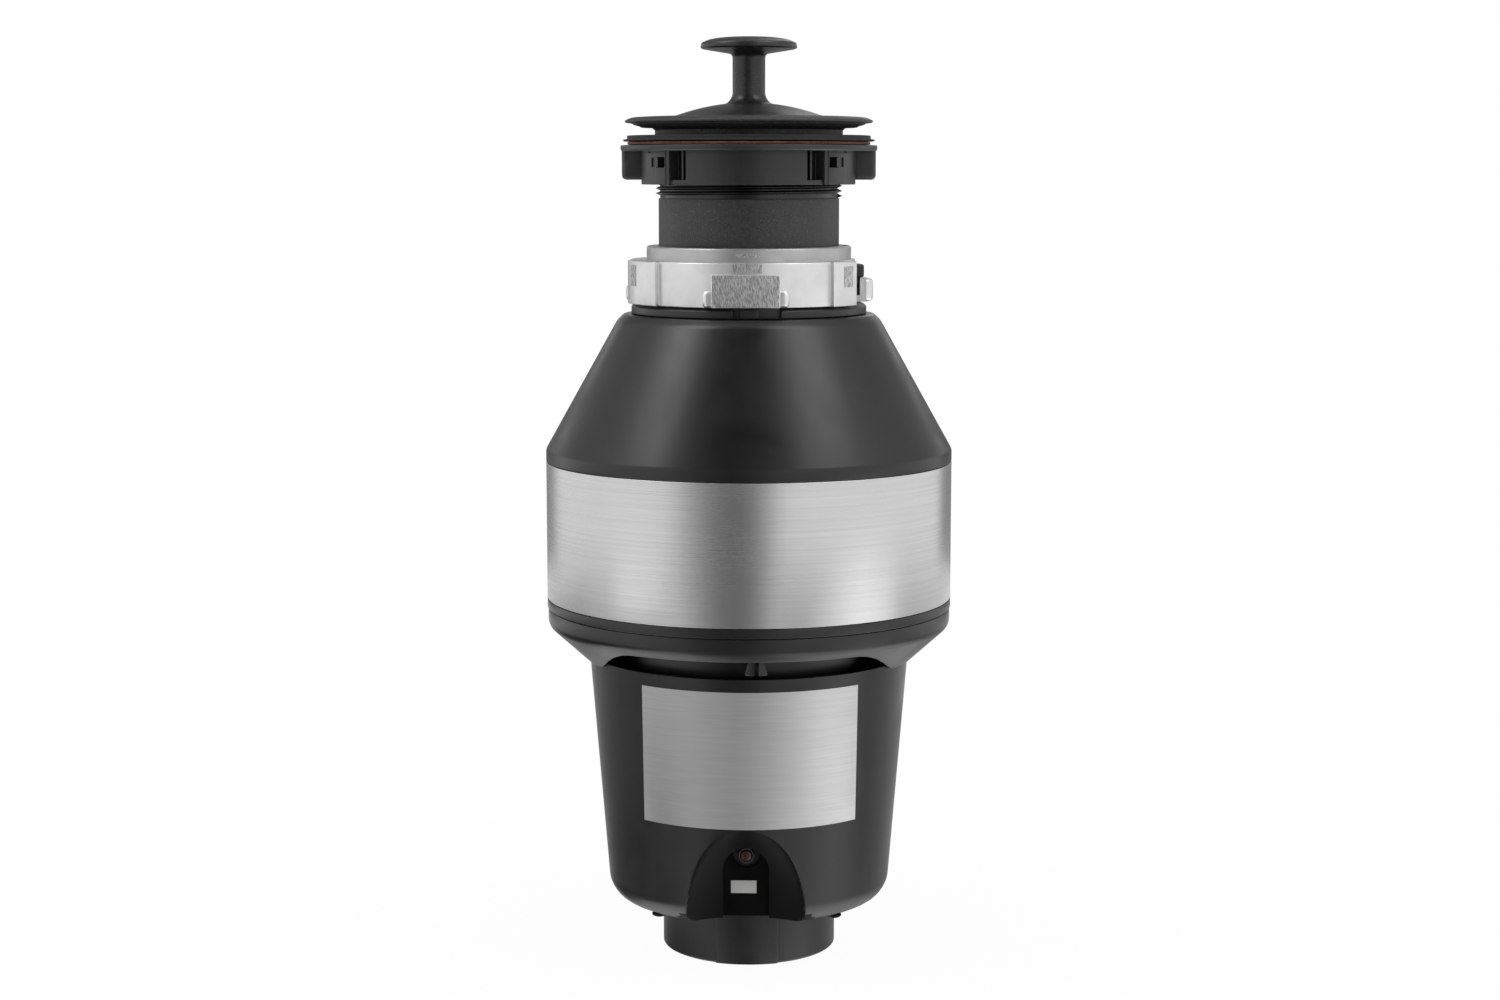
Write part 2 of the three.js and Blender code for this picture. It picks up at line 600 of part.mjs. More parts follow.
/** The cast bowl under the turntable: hub, bearing and seal seats, and the outlet at the back. */
function drainBowl() {
  const hubTop = bowlFloorTop + HUB_RISE;
  const bearingSeatTop = upperBearingZ + BEARING_HEIGHT + SEAT;
  const shaftHole = SHAFT_R + 1;
  const body = revolve([
    [shaftHole, bearingSeatTop], [BEARING_R + SEAT, bearingSeatTop],
    [BEARING_R + SEAT, bowlBottom - 6], [HUB_R, bowlBottom - 6], [HUB_R, bowlBottom],
    [bowlR, bowlBottom], [bowlR, bowlTop - FLANGE_THICKNESS],
    [bowlFlangeR, bowlTop - FLANGE_THICKNESS], [bowlFlangeR, bowlTop],
    [ringBoreR, bowlTop], [bowlR - BOWL_WALL, bowlTop - 4], [bowlR - BOWL_WALL, bowlFloorTop, 4],
    [HUB_R, bowlFloorTop], [HUB_R - 3, hubTop], [SEAL_R + SEAT, hubTop], [SEAL_R + SEAT, sealZ - SEAT],
    [shaftHole, sealZ - SEAT],
  ], HIDDEN_ROUND);
  const spout = alongY(tube(0, outletR, 0, outletReach - bowlR + BOWL_WALL, 20), bowlR - BOWL_WALL, outletZ);
  const bore = alongY(tube(0, OUTLET_BORE_R, 0, outletReach, 20), bowlR / 2, outletZ);
  const boltHole = tube(0, BOLT_R + SEAT, bowlBottom - 1, bowlFloorTop - 1, 8).translate(0, -boltOrbitR, 0);
  return cut(join(body, spout), bore, ...around(boltHole, 4, 45));
}
piece('drain_bowl', drainBowl(), castAluminium);

/** The hopper: a skirt round the shredder ring and a cone, with the dishwasher nipple. */
function hopper() {
  const coneFoot = hopperConeR + HOPPER_WALL;
  const skirtInner = ringR + SEAT;
  const body = revolve([
    [skirtInner, ringBottom], [bowlFlangeR, ringBottom],
    [bowlFlangeR, ringBottom + FLANGE_THICKNESS], [hopperSkirtR, ringBottom + FLANGE_THICKNESS],
    [hopperSkirtR, hopperConeBottom], [coneFoot, hopperConeBottom + 3],
    [hopperNeckR, hopperConeTop], [HOPPER_NECK_R, hopperConeTop],
    [hopperConeR, hopperConeBottom], [hopperConeR, ringTop + SEAT], [skirtInner, ringTop + SEAT],
  ], HIDDEN_ROUND);
  const nippleRoot = hopperNeckR + 6;
  const nipple = alongY(tube(0, nippleR, 0, nippleReach - nippleRoot, SMALL_ROUND), nippleRoot, nippleZ);
  const inside = revolve([
    [0, hopperConeBottom], [hopperConeR, hopperConeBottom],
    [HOPPER_NECK_R, hopperConeTop], [0, hopperConeTop],
  ], HIDDEN_ROUND);
  const bore = alongY(tube(0, NIPPLE_BORE_R, 0, nippleReach, SMALL_ROUND), HOPPER_NECK_R / 2, nippleZ);
  return cut(join(body, nipple), inside, bore);
}
piece('hopper', hopper(), grainedPlastic);

/** The hopper's neck, with the flange that carries the upper cover. */
const hopperNeckFoot = hopperConeTop + SEAT;
const hopperFlangeR = COVER_TOP_R - 5;
const hopperNeck = revolve([
  [HOPPER_NECK_R, hopperNeckFoot], [hopperNeckR, hopperNeckFoot], [hopperNeckR, hopperFlangeFoot],
  [hopperFlangeR, hopperFlangeFoot], [hopperFlangeR, hopperFlangeTop], [hopperNeckR, hopperFlangeTop],
  [hopperNeckR, neckTop], [HOPPER_NECK_R, neckTop],
], HIDDEN_ROUND);
piece('inlet_neck', hopperNeck, grainedPlastic);
const plugBody = tube(0, NIPPLE_BORE_R - SEAT, 0, PLUG_THICKNESS, SMALL_ROUND);
piece('dishwasher_plug', alongY(plugBody, nippleReach - PLUG_SETBACK - PLUG_THICKNESS, nippleZ), blackRubber);

/** Moulded foam between the hopper and the upper cover. */
function soundInsulation() {
  const bottom = ringBottom + FLANGE_THICKNESS + SEAT;
  const top = hopperFlangeFoot - SEAT;
  const outerR = BODY_R - WALL - BAND_THICKNESS - 1;
  const topOuterR = CONE_TOP_R + (coneTop - top) * coneSlope - WALL - 2.5;
  const body = revolve([
    [hopperSkirtR + SEAT, bottom], [outerR, bottom], [outerR, bandTop], [topOuterR, top],
    [hopperNeckR + SEAT, top], [hopperNeckR + SEAT, hopperConeTop + 0.5],
    [hopperConeR + HOPPER_WALL + 1, hopperConeBottom + 3.5], [hopperSkirtR + SEAT, hopperConeBottom + 0.5],
  ], HIDDEN_ROUND);
  return cut(body, nippleHole);
}
piece('sound_insulation', soundInsulation(), whiteFoam);

// ---------------------------------------------------------------- grinding set

/** The shredder ring: upright teeth inside and windows at its foot. */
function shredderRing() {
  const step = 360 / TOOTH_COUNT;
  const toothed = Array.from({ length: TOOTH_COUNT }, (_, i) => [
    polar(ringBoreR, i * step), polar(ringBoreR, (i + 0.5) * step),
    polar(ringBoreR + TOOTH_DEPTH, (i + 0.55) * step),
    polar(ringBoreR + TOOTH_DEPTH, (i + 0.95) * step),
  ]).flat();
  const body = tube(0, ringR, ringBottom + SEAT, ringTop, HIDDEN_ROUND);
  const windowTop = ringBottom + RING_WINDOW_HEIGHT;
  const window = sector(ringBoreR - 1, ringR + 1, -step / 4, step / 4, ringBottom, windowTop);
  const windows = around(window, TOOTH_COUNT / 2, step * 0.75);
  return cut(body, prism(toothed, ringBottom - 1, ringTop + 1), ...windows);
}
piece('shredder_ring', shredderRing(), plainSteel);

/** The turntable that the lugs swing on, with its hub, rim and drain holes. */
function turntable() {
  const body = revolve([
    [SHAFT_R + SEAT, turntableZ - 3], [16, turntableZ - 3], [18, turntableZ], [turntableR, turntableZ],
    [turntableR, turntableTop], [SHAFT_R + SEAT, turntableTop],
  ], HIDDEN_ROUND);
  const rivetHole = tube(0, RIVET_R + SEAT, turntableZ - 1, turntableTop + 1, SMALL_ROUND);
  const rivetHoles = [-1, 1].map((side) => rivetHole.clone().translate(side * lugOrbitR, 0, 0));
  const drain = tube(0, DRAIN_HOLE_R, turntableZ - 1, turntableTop + 1, 6)
    .translate(0, -turntableR * 0.86, 0);
  return cut(body, ...rivetHoles, ...around(drain, DRAIN_HOLE_COUNT, 180 / DRAIN_HOLE_COUNT));
}

/** A swinging lug, built about its rivet: a flat plate with an upright striking face. */
function swingingLug() {
  const bottom = turntableTop + SEAT;
  const plate = outline([
    [-LUG_HALF_WIDTH, -LUG_HALF_WIDTH, 4], [LUG_HALF_WIDTH, -LUG_HALF_WIDTH, 4],
    [LUG_REACH * 0.8, LUG_HALF_WIDTH, 2], [LUG_REACH * 0.5, LUG_REACH, 2],
    [-LUG_HALF_WIDTH, LUG_REACH * 0.8, 2],
  ]);
  const strikerFoot = RIVET_HEAD_R + 1.5;
  const striker = outline([
    [-LUG_HALF_WIDTH + 0.5, strikerFoot], [LUG_HALF_WIDTH + 2, strikerFoot],
    [LUG_REACH * 0.5, LUG_REACH - 0.5, 1.5], [-LUG_HALF_WIDTH + 0.5, LUG_REACH * 0.8 - 0.5, 1.5],
  ]);
  const body = join(prism(plate, bottom, bottom + LUG_PLATE), prism(striker, bottom, bottom + LUG_HEIGHT));
  return cut(body, tube(0, RIVET_R + SEAT, bottom - 1, bottom + LUG_PLATE + 1, SMALL_ROUND));
}

/** The rivet that a lug swings on, headed above the lug and upset below the turntable. */
function lugRivet() {
  const top = turntableTop + SEAT + LUG_PLATE + SEAT;
  const bottom = turntableZ - SEAT;
  const upsetR = RIVET_HEAD_R - 0.8;
  return revolve([
    [0, bottom - 2], [upsetR, bottom - 2], [upsetR, bottom], [RIVET_R, bottom], [RIVET_R, top],
    [RIVET_HEAD_R, top], [RIVET_HEAD_R, top + RIVET_HEAD, 1.5], [0, top + RIVET_HEAD],
  ], SMALL_ROUND);
}

const rotor = new THREE.Group();
disposer.add(rotor);
piece('turntable', turntable(), plainSteel, rotor);
for (const [letter, side] of [['a', 1], ['b', -1]]) {
  const arm = new THREE.Group();
  arm.position.x = side * lugOrbitR;
  arm.rotation.z = side > 0 ? 0 : Math.PI;
  rotor.add(arm);
  piece(`lug_${letter}`, swingingLug(), plainSteel, arm);
  piece(`lug_rivet_${letter}`, lugRivet(), plainSteel, arm);
}

// ---------------------------------------------------------------- rotor of the motor

const studBottom = turntableTop - 0.5;
const studTop = turntableTop + SEAT + NUT_HEIGHT + 1.5;
const shaft = revolve([
  [0, lowerBearingZ], [SHAFT_END_R, lowerBearingZ], [SHAFT_END_R, lowerBearingZ + BEARING_HEIGHT],
  [SHAFT_R, lowerBearingZ + BEARING_HEIGHT], [SHAFT_R, studBottom], [STUD_R, studBottom],
  [STUD_R, studTop, 0.8], [0, studTop],
], SMALL_ROUND);
piece('motor_shaft', shaft, plainSteel, rotor);

const hexagon = Array.from({ length: 6 }, (_, i) => polar(NUT_R, 60 * i));
const nutBottom = turntableTop + SEAT;
const nutBore = tube(0, STUD_R + SEAT, nutBottom - 1, nutBottom + NUT_HEIGHT + 1, SMALL_ROUND);
piece('turntable_nut', cut(prism(hexagon, nutBottom, nutBottom + NUT_HEIGHT), nutBore), plainSteel, rotor);

/** The slotted stack of laminations. */
function armatureCore() {
  const step = 360 / CORE_SLOTS;
  const floor = CORE_R - CORE_SLOT_DEPTH;
  const points = Array.from({ length: CORE_SLOTS }, (_, i) => [
    polar(floor, i * step - CORE_SLOT_HALF_ANGLE), polar(floor, i * step + CORE_SLOT_HALF_ANGLE),
    polar(CORE_R, i * step + CORE_SLOT_HALF_ANGLE), polar(CORE_R, (i + 0.5) * step),
    polar(CORE_R, (i + 1) * step - CORE_SLOT_HALF_ANGLE),
  ]).flat();
  const bore = tube(0, SHAFT_R + SEAT, coreZ - 1, coreZ + CORE_HEIGHT + 1, SMALL_ROUND);
  return cut(prism(points, coreZ, coreZ + CORE_HEIGHT), bore);
}
piece('armature_core', armatureCore(), plainSteel, rotor);

const windingBore = SHAFT_R + 1;
for (const [name, bottom] of [['winding_lower', lowerWindingZ], ['winding_upper', upperWindingZ]]) {
  const coil = revolve([
    [windingBore, bottom], [WINDING_R, bottom, 3], [WINDING_R, bottom + WINDING_HEIGHT, 3],
    [windingBore, bottom + WINDING_HEIGHT],
  ], MOTOR_ROUND);
  piece(name, coil, copper, rotor);
}

/** A sleeve on the shaft, from its radius, its foot and its height. */
const onShaft = (radius, bottom, height, shaftR = SHAFT_R) =>
  tube(shaftR + SEAT, radius, bottom, bottom + height, MOTOR_ROUND);
piece('commutator', onShaft(COMMUTATOR_R, commutatorZ, COMMUTATOR_HEIGHT), copper, rotor);
piece('slinger', onShaft(SLINGER_R, slingerZ, SLINGER_THICKNESS), blackRubber, rotor);

// ---------------------------------------------------------------- stator of the motor

piece('upper_bearing', onShaft(BEARING_R, upperBearingZ, BEARING_HEIGHT), plainSteel);
const lowerBearing = onShaft(BEARING_R, lowerBearingZ, BEARING_HEIGHT - SEAT, SHAFT_END_R);
piece('lower_bearing', lowerBearing, plainSteel);
piece('shaft_seal', onShaft(SEAL_R, sealZ, SEAL_HEIGHT - 0.5), blackRubber);
piece('motor_can', tube(canBore, CAN_R, canBottom, canTop), plainSteel);
for (const [letter, angle] of [['a', 0], ['b', 180]]) {
  const middle = coreZ + CORE_HEIGHT / 2;
  const ends = [angle - MAGNET_HALF_ANGLE, angle + MAGNET_HALF_ANGLE];
  const magnet = sector(magnetR - MAGNET_THICKNESS, magnetR, ...ends,
    middle - MAGNET_HEIGHT / 2, middle + MAGNET_HEIGHT / 2);
  piece(`magnet_${letter}`, magnet, ferrite);
}

/** The end frame under the motor can: bearing cup and four ears for the through bolts. */
function endFrame() {
  const cupBottom = lowerBearingZ - 2;
  const cupR = BEARING_R + 3.5;
  const disc = revolve([
    [BEARING_R + SEAT, lowerBearingZ - SEAT], [BEARING_R + SEAT, endFrameTop], [CAN_R, endFrameTop],
    [CAN_R, motorBottom], [cupR, motorBottom], [cupR, cupBottom], [0, cupBottom],
    [0, lowerBearingZ - SEAT],
  ], HIDDEN_ROUND);
  const earTip = -boltOrbitR - 5;
  const ear = outline([[-6, earTip, 4], [6, earTip, 4], [9, -CAN_R + 4], [-9, -CAN_R + 4]]);
  const ears = around(prism(ear, motorBottom, endFrameTop), 4, 45);
  const hole = tube(0, BOLT_R + SEAT, motorBottom - 1, endFrameTop + 1, 8).translate(0, -boltOrbitR, 0);
  return cut(join(disc, ...ears), ...around(hole, 4, 45));
}
piece('end_frame', endFrame(), castAluminium);

const bolt = revolve([
  [0, housingBottom - SEAT - BOLT_HEAD], [BOLT_HEAD_R, housingBottom - SEAT - BOLT_HEAD],
  [BOLT_HEAD_R, housingBottom - SEAT], [BOLT_R, housingBottom - SEAT], [BOLT_R, bowlFloorTop - 1 - SEAT],
  [0, bowlFloorTop - 1 - SEAT],
], 8).translate(0, -boltOrbitR, 0);
around(bolt, 4, 45).forEach((body, i) => piece(`through_bolt_${i + 1}`, body, plainSteel));

// Brush gear: a holder, a carbon brush and the rolled spring that rides behind it, on each side.
const brushFront = COMMUTATOR_R + SEAT;
const holderFront = brushFront + 2;
const holderBack = holderFront + BRUSH_LENGTH + BRUSH_TRAVEL + 2 * SPRING_COIL_R;
const half = BRUSH_WIDTH / 2;
for (const [letter, angle] of [['a', 90], ['b', -90]]) {
  const side = half + SEAT;
  const outer = side + HOLDER_WALL;
  const box = block([-outer, -holderBack, endFrameTop + SEAT], [outer, -holderFront, brushZ + outer]);
  const channel = block([-side, -holderBack - 1, brushZ - side], [side, -holderFront + 1, brushZ + side]);
  piece(`brush_holder_${letter}`, turned(cut(box, channel), angle), fibreBoard);
  const brush = block([-half, -brushFront - BRUSH_LENGTH, brushZ - half], [half, -brushFront, brushZ + half]);
  piece(`carbon_brush_${letter}`, turned(brush, angle), carbon);
  const coil = tube(1.6, SPRING_COIL_R, -half, half, 12).rotateY(Math.PI / 2)
    .translate(0, -brushFront - BRUSH_LENGTH - SEAT - SPRING_COIL_R, brushZ);
  piece(`brush_spring_${letter}`, turned(coil, angle), plainSteel);
}

/** The rectifier board on the floor of the housing, with its bridge, capacitor and terminals. */
function rectifierBoard() {
  const z = housingFloor + BOARD_RISE;
  const front = -BOARD_DEPTH / 2 + BOARD_SHIFT;
  const side = BOARD_WIDTH / 2;
  const board = block([-side, front, z], [side, front + BOARD_DEPTH, z + BOARD_THICKNESS]);
  const [bridge, terminals] = [BRIDGE, TERMINALS].map(({ x, width, y, depth, height }) =>
    block([-x, front + y, z + 1], [width - x, front + y + depth, z + 1 + height]));
  const capacitor = tube(0, CAPACITOR.radius, z + 1, z + 1 + CAPACITOR.height, SMALL_ROUND)
    .translate(CAPACITOR.x, front + CAPACITOR.y, 0);
  return join(board, bridge, terminals, capacitor);
}
piece('rectifier_board', rectifierBoard(), circuitBoard);

// ---------------------------------------------------------------- neck of the machine

const lugAngles = [0, 120, 240];

/** The black collar that the quick-lock ring turns on, with its three ears. */
function mountCollar() {
  const inner = COLLAR_NECK_R - COLLAR_WALL;
  const body = revolve([
    [inner, collarBottom], [COLLAR_R, collarBottom], [COLLAR_R, collarTop, 0.6], [COLLAR_NECK_R, collarTop],
    [COLLAR_NECK_R, collarNeckTop], [inner, collarNeckTop],
  ]);
  const earBottom = lockRingBottom + LOCK_RING_LIP + RUN;
  const ear = sector(inner + 1, COLLAR_EAR_R, -COLLAR_EAR_HALF_ANGLE, COLLAR_EAR_HALF_ANGLE,
    earBottom, collarNeckTop);
  const notch = sector(COLLAR_R - 2.4, COLLAR_R + 1, -12, 12, collarBottom - 1, collarTop + 1);
  const stop = sector(COLLAR_R - 3.4, COLLAR_R - 0.8, -4, 3.5, collarBottom, collarTop - 0.4);
  return join(cut(body, notch), stop, ...around(ear, 3));
}
piece('mount_collar', mountCollar(), blackPlastic);

const cushionOuter = COLLAR_NECK_R - COLLAR_WALL - SEAT;
const cushionFoot = collarBottom + SEAT;
const cushionTop = sleeveBottom - SEAT;
const cushion = revolve([
  [HOPPER_NECK_R, neckTop + SEAT], [hopperNeckR + SEAT, neckTop + SEAT], [hopperNeckR + SEAT, cushionFoot],
  [cushionOuter, cushionFoot], [cushionOuter, cushionTop], [HOPPER_NECK_R, cushionTop],
]);
piece('cushion_mount', cushion, blackRubber);

/** The rubber baffle: a seat ring in the sleeve and a dished diaphragm slit into flaps. */
function splashGuard() {
  const seatR = SLEEVE_BORE_R - SEAT;
  const holeFoot = sleeveBottom - BAFFLE_DROP;
  const hinge = HOPPER_NECK_R - 2.5;
  const body = revolve([
    [seatR, sleeveBottom], [seatR, sleeveBottom + BAFFLE_RIM], [seatR - 3, sleeveBottom + BAFFLE_RIM],
    [hinge, sleeveBottom + BAFFLE_THICKNESS], [BAFFLE_HOLE_R, holeFoot + BAFFLE_THICKNESS],
    [BAFFLE_HOLE_R, holeFoot], [hinge + 0.6, sleeveBottom],
  ]);
  const slit = block([-0.6, -hinge + 3, holeFoot - 1], [0.6, -BAFFLE_HOLE_R + 2, sleeveBottom + 5]);
  return cut(body, ...around(slit, BAFFLE_SLITS));
}
piece('splash_guard', splashGuard(), blackRubber);

/** The outline of the cast ring, grown inwards by a wall; it repeats every third of a turn. */
function lockRingOutline(wall) {
  const third = (start) => [
    ...arc(LOCK_RING_R - wall, start + WALL_START, start + BULGE_START),
    ...arc(BULGE_R - wall, start + BULGE_START, start + BULGE_END),
  ];
  return lugAngles.flatMap(third);
}

/** The aluminium quick-lock ring: stepped wall, top collar, bottom lip and three lugs. */
function lockRing() {
  const boreR = SLEEVE_R + RUN;
  const lipR = COLLAR_NECK_R + RUN;
  const shell = prism(lockRingOutline(0), lockRingBottom, lockRingTop);
  const topCollar = revolve([
    [boreR, lockRingCavityTop], [LOCK_RING_TOP_R, lockRingCavityTop],
    [LOCK_RING_TOP_R, lockRingTop + LOCK_RING_TOP_HEIGHT, 1], [boreR, lockRingTop + LOCK_RING_TOP_HEIGHT],
  ]);
  const pad = block([-LUG_PAD_HALF_WIDTH, -LUG_PAD_PLANE, lockRingBottom],
    [LUG_PAD_HALF_WIDTH, -LOCK_RING_R + LOCK_RING_WALL + 4, lockRingBottom + LUG_PAD_HEIGHT]);
  const foot = block([-LUG_FOOT_HALF_WIDTH, -LUG_PAD_PLANE + 0.8, lockRingBottom],
    [LUG_FOOT_HALF_WIDTH, -LOCK_RING_R + LOCK_RING_WALL + 6, lockRingBottom + LUG_FOOT_HEIGHT]);
  const body = join(shell, topCollar, ...lugAngles.flatMap((a) => [turned(pad, a), turned(foot, a)]));
  const cavity = prism(lockRingOutline(LOCK_RING_WALL), lockRingBottom + LOCK_RING_LIP, lockRingCavityTop);
  const lipTop = lockRingBottom + LOCK_RING_LIP + 1;
  const lipBore = tube(0, lipR, lockRingBottom - 1, lipTop);
  const bore = tube(0, boreR, lockRingBottom, lockRingTop + LOCK_RING_TOP_HEIGHT + 1);
  const entry = sector(lipR - 1, COLLAR_EAR_R + RUN, BULGE_START, ENTRY_END, lockRingBottom - 1, lipTop);
  const keyway = sector(boreR - 1, SLEEVE_R + EAR_REACH + RUN, -EAR_HALF_ANGLE - 2 - UNLOCK_ANGLE,
    EAR_HALF_ANGLE + 2 - UNLOCK_ANGLE, lockRingCavityTop - 1, lockRingTop + LOCK_RING_TOP_HEIGHT + 1);
  return cut(body, cavity, lipBore, bore, ...around(entry, 3), ...around(keyway, 3));
}
piece('lock_ring', lockRing(), castAluminium);

// ---------------------------------------------------------------- sink sleeve and stopper

/** The sink flange and its threaded sleeve, one moulding, with three bayonet ears at its foot. */
function sinkFlange() {
  const body = revolve([
    [SLEEVE_BORE_R, sleeveBottom], [SLEEVE_R, sleeveBottom], [SLEEVE_R, threadBottom],
    [THREAD_R, threadBottom], [THREAD_R, threadTop], [NECK_R, threadTop],
    [NECK_R, flangeUnderside], [NECK_R + 7, flangeUnderside],
    [FLANGE_R, flangeRim - 1, 0.8], [FLANGE_R, flangeRim + 0.3, 0.6], [FLANGE_R - 4, flangeTop, 2],
    [STOPPER_R + 5, flangeTop, 2], [STOPPER_R + 1.5, stopperSeat], [STOPPER_R - 3, stopperSeat - 3],
    [SLEEVE_BORE_R, stopperSeat - 6, 2],
  ]);
  const ear = sector(SLEEVE_BORE_R + 1, SLEEVE_R + EAR_REACH, -EAR_HALF_ANGLE, EAR_HALF_ANGLE,
    earTop - EAR_HEIGHT, earTop);
  return join(body, ...around(ear, 3));
}
piece('sink_flange', sinkFlange(), grainedPlastic);

/** The winged nut: round front and back walls, ribbed lobes with square windows, two grips. */
function lockNut() {
  const webR = LOCK_NUT_R - LOCK_NUT_WEB;
  const quarter = [
    [0, 34, LOCK_NUT_R], [34, 37.5, webR], [37.5, 39, LOCK_NUT_R - 0.4], [39, 45, webR],
    [45, 78, LOBE_R], [78, 90, webR + 1],
  ];
  const mirror = ([from, to, r]) => [180 - to, 180 - from, r];
  const halfTurn = [...quarter, ...quarter.toReversed().map(mirror)];
  const sections = [...halfTurn, ...halfTurn.map(([from, to, r]) => [from + 180, to + 180, r])];
  const wallOutline = sections.flatMap(([from, to, r]) => arc(r, from, to));
  const wall = prism(wallOutline, lockNutBottom, lockNutFlangeZ + 0.5);
  const foot = tube(0, LOCK_NUT_R, lockNutBottom, lockNutBottom + 2.2);
  const flange = revolve([
    [0, lockNutFlangeZ], [LOCK_NUT_FLANGE_R, lockNutFlangeZ, 0.5], [LOCK_NUT_FLANGE_R, lockNutTop, 0.5],
    [0, lockNutTop],
  ]);
  const wingFoot = lockNutFlangeZ - WING_HEIGHT;
  const wingShape = new THREE.Shape(outline([
    [-WING_REACH, wingFoot, 2], [WING_REACH, wingFoot, 2], [WING_REACH, lockNutFlangeZ + 0.5],
    [-WING_REACH, lockNutFlangeZ + 0.5],
  ]));
  const depth = WING_THICKNESS;
  const wings = new THREE.ExtrudeGeometry(wingShape, { depth, bevelEnabled: false, steps: 1 });
  wings.rotateX(Math.PI / 2).translate(0, WING_THICKNESS / 2, 0);
  const windowFoot = lockNutBottom + WINDOW_RISE;
  const windowTop = windowFoot + WINDOW_HEIGHT;
  const spans = [[WINDOW_START, WINDOW_END], [-WINDOW_END, -WINDOW_START]];
  const windows = [0, 180].flatMap((a) => spans
    .map(([from, to]) => sector(webR - 0.8, LOBE_R + 1, a + from, a + to, windowFoot, windowTop)));
  const bore = tube(0, lockNutBore, lockNutBottom - 1, lockNutTop + 1);
  return cut(join(wall, foot, flange, weld(wings)), bore, ...windows);
}
piece('lock_nut', lockNut(), blackPlastic);
piece('fibre_gasket', tube(lockNutBore, FIBRE_R, fibreBottom, fibreBottom + FIBRE_THICKNESS), fibreBoard);
const gasketWallR = GASKET_R - GASKET_LIP_REACH;
const gasketLipTop = gasketBottom + GASKET_LIP;
const gasketBody = revolve([
  [NECK_R + RUN, gasketBottom], [GASKET_R, gasketBottom], [GASKET_R, gasketLipTop],
  [gasketWallR, gasketLipTop], [gasketWallR, gasketTop], [NECK_R + RUN, gasketTop],
]);
piece('rubber_gasket', gasketBody, blackRubber);

/** The stopper: knob, stem, domed disc and four guide ribs below it. */
function stopper() {
  const top = stopperSeat + STOPPER_HEIGHT;
  const knobBottom = top - KNOB_THICKNESS;
  const body = revolve([
    [0, stopperSeat - 2.2], [STOPPER_R - 8, stopperSeat - 2.2], [STOPPER_R - 8, stopperSeat + 0.6],
    [STOPPER_R, stopperSeat + 0.6], [STOPPER_R, stopperSeat + 2], [STOPPER_R * 0.83, stopperSeat + 5],
    [STOPPER_R * 0.52, stopperSeat + 9.1], [STEM_R + 2.5, stopperSeat + 11.3, 2],
    [STEM_R, stopperSeat + 13.6, 1.5],
    [STEM_R, knobBottom - KNOB_ROOT, 1], [KNOB_R - 1, knobBottom], [KNOB_R, knobBottom + 0.7],
    [KNOB_R, top - KNOB_CROWN, 1], [KNOB_R - 8, top - 0.5, 3], [0, top],
  ], 24);
  const ribR = SLEEVE_BORE_R - 4;
  const rib = block([-1.2, -ribR, stopperSeat - 13], [1.2, ribR, stopperSeat - 2]);
  return join(body, rib, turned(rib, 90));
}
piece('stopper', stopper(), grainedPlastic);
const stopperSealInner = STOPPER_R - 8 + SEAT;
const stopperSeal = tube(stopperSealInner, STOPPER_SEAL_R, stopperSeat - 1.4, stopperSeat + SEAT, 24);
piece('stopper_seal', stopperSeal, blackRubber);

export default disposer;
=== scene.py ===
"""The looks of a kitchen food waste disposer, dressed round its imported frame.

Each sub-assembly is a class that turns, raises and cuts its own pieces; each finish is a frozen
dataclass that wires one material. Lengths are metres, +Z is up and the front faces -Y. Angles
round the upright axis are degrees from the front, turning towards +X.
"""

from __future__ import annotations

import logging
import math
from abc import ABC, abstractmethod
from collections.abc import Callable, Iterator, Mapping, Sequence
from dataclasses import dataclass
from enum import Enum

import bmesh
import bpy
from mathutils import Matrix, Vector

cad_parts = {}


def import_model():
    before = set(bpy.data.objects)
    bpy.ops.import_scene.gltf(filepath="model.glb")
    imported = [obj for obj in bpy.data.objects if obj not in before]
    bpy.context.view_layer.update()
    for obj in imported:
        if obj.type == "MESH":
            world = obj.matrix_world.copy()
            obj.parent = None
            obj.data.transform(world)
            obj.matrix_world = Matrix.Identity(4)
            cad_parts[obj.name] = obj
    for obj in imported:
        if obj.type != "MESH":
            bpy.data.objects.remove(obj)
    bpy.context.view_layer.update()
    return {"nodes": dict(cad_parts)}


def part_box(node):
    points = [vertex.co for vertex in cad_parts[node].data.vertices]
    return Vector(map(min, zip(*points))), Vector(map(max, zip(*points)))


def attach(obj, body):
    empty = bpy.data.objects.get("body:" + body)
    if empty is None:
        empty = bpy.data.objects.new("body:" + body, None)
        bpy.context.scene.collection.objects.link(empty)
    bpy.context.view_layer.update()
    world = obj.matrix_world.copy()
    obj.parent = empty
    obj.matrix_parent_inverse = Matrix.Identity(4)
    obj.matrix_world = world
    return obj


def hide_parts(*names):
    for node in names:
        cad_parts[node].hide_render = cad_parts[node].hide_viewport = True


LOG = logging.getLogger("disposer")

MM = 0.001
ROUND = 192  # faces round a large turned piece
SMALL_ROUND = 64  # faces round a small one
ROUNDING_STEPS = 5  # faces across a rounded corner
ARC_STEP = 1.5  # degrees between points of a drawn arc
SEAT = 0.3 * MM  # between pieces that rest on each other
WELD = 1e-6
SHARP = 32.0  # degrees above which an edge is left crisp
DUST_COLOUR = (0.32, 0.31, 0.29, 1.0)

Span = tuple[float, float]
Triple = tuple[float, float, float]
RGBA = tuple[float, float, float, float]
Corner = tuple[float, ...]
Mesh = bmesh.types.BMesh
Socket = bpy.types.NodeSocket


class Joinery(Enum):
    """How two bodies are combined."""

    JOIN = "UNION"
    CUT = "DIFFERENCE"


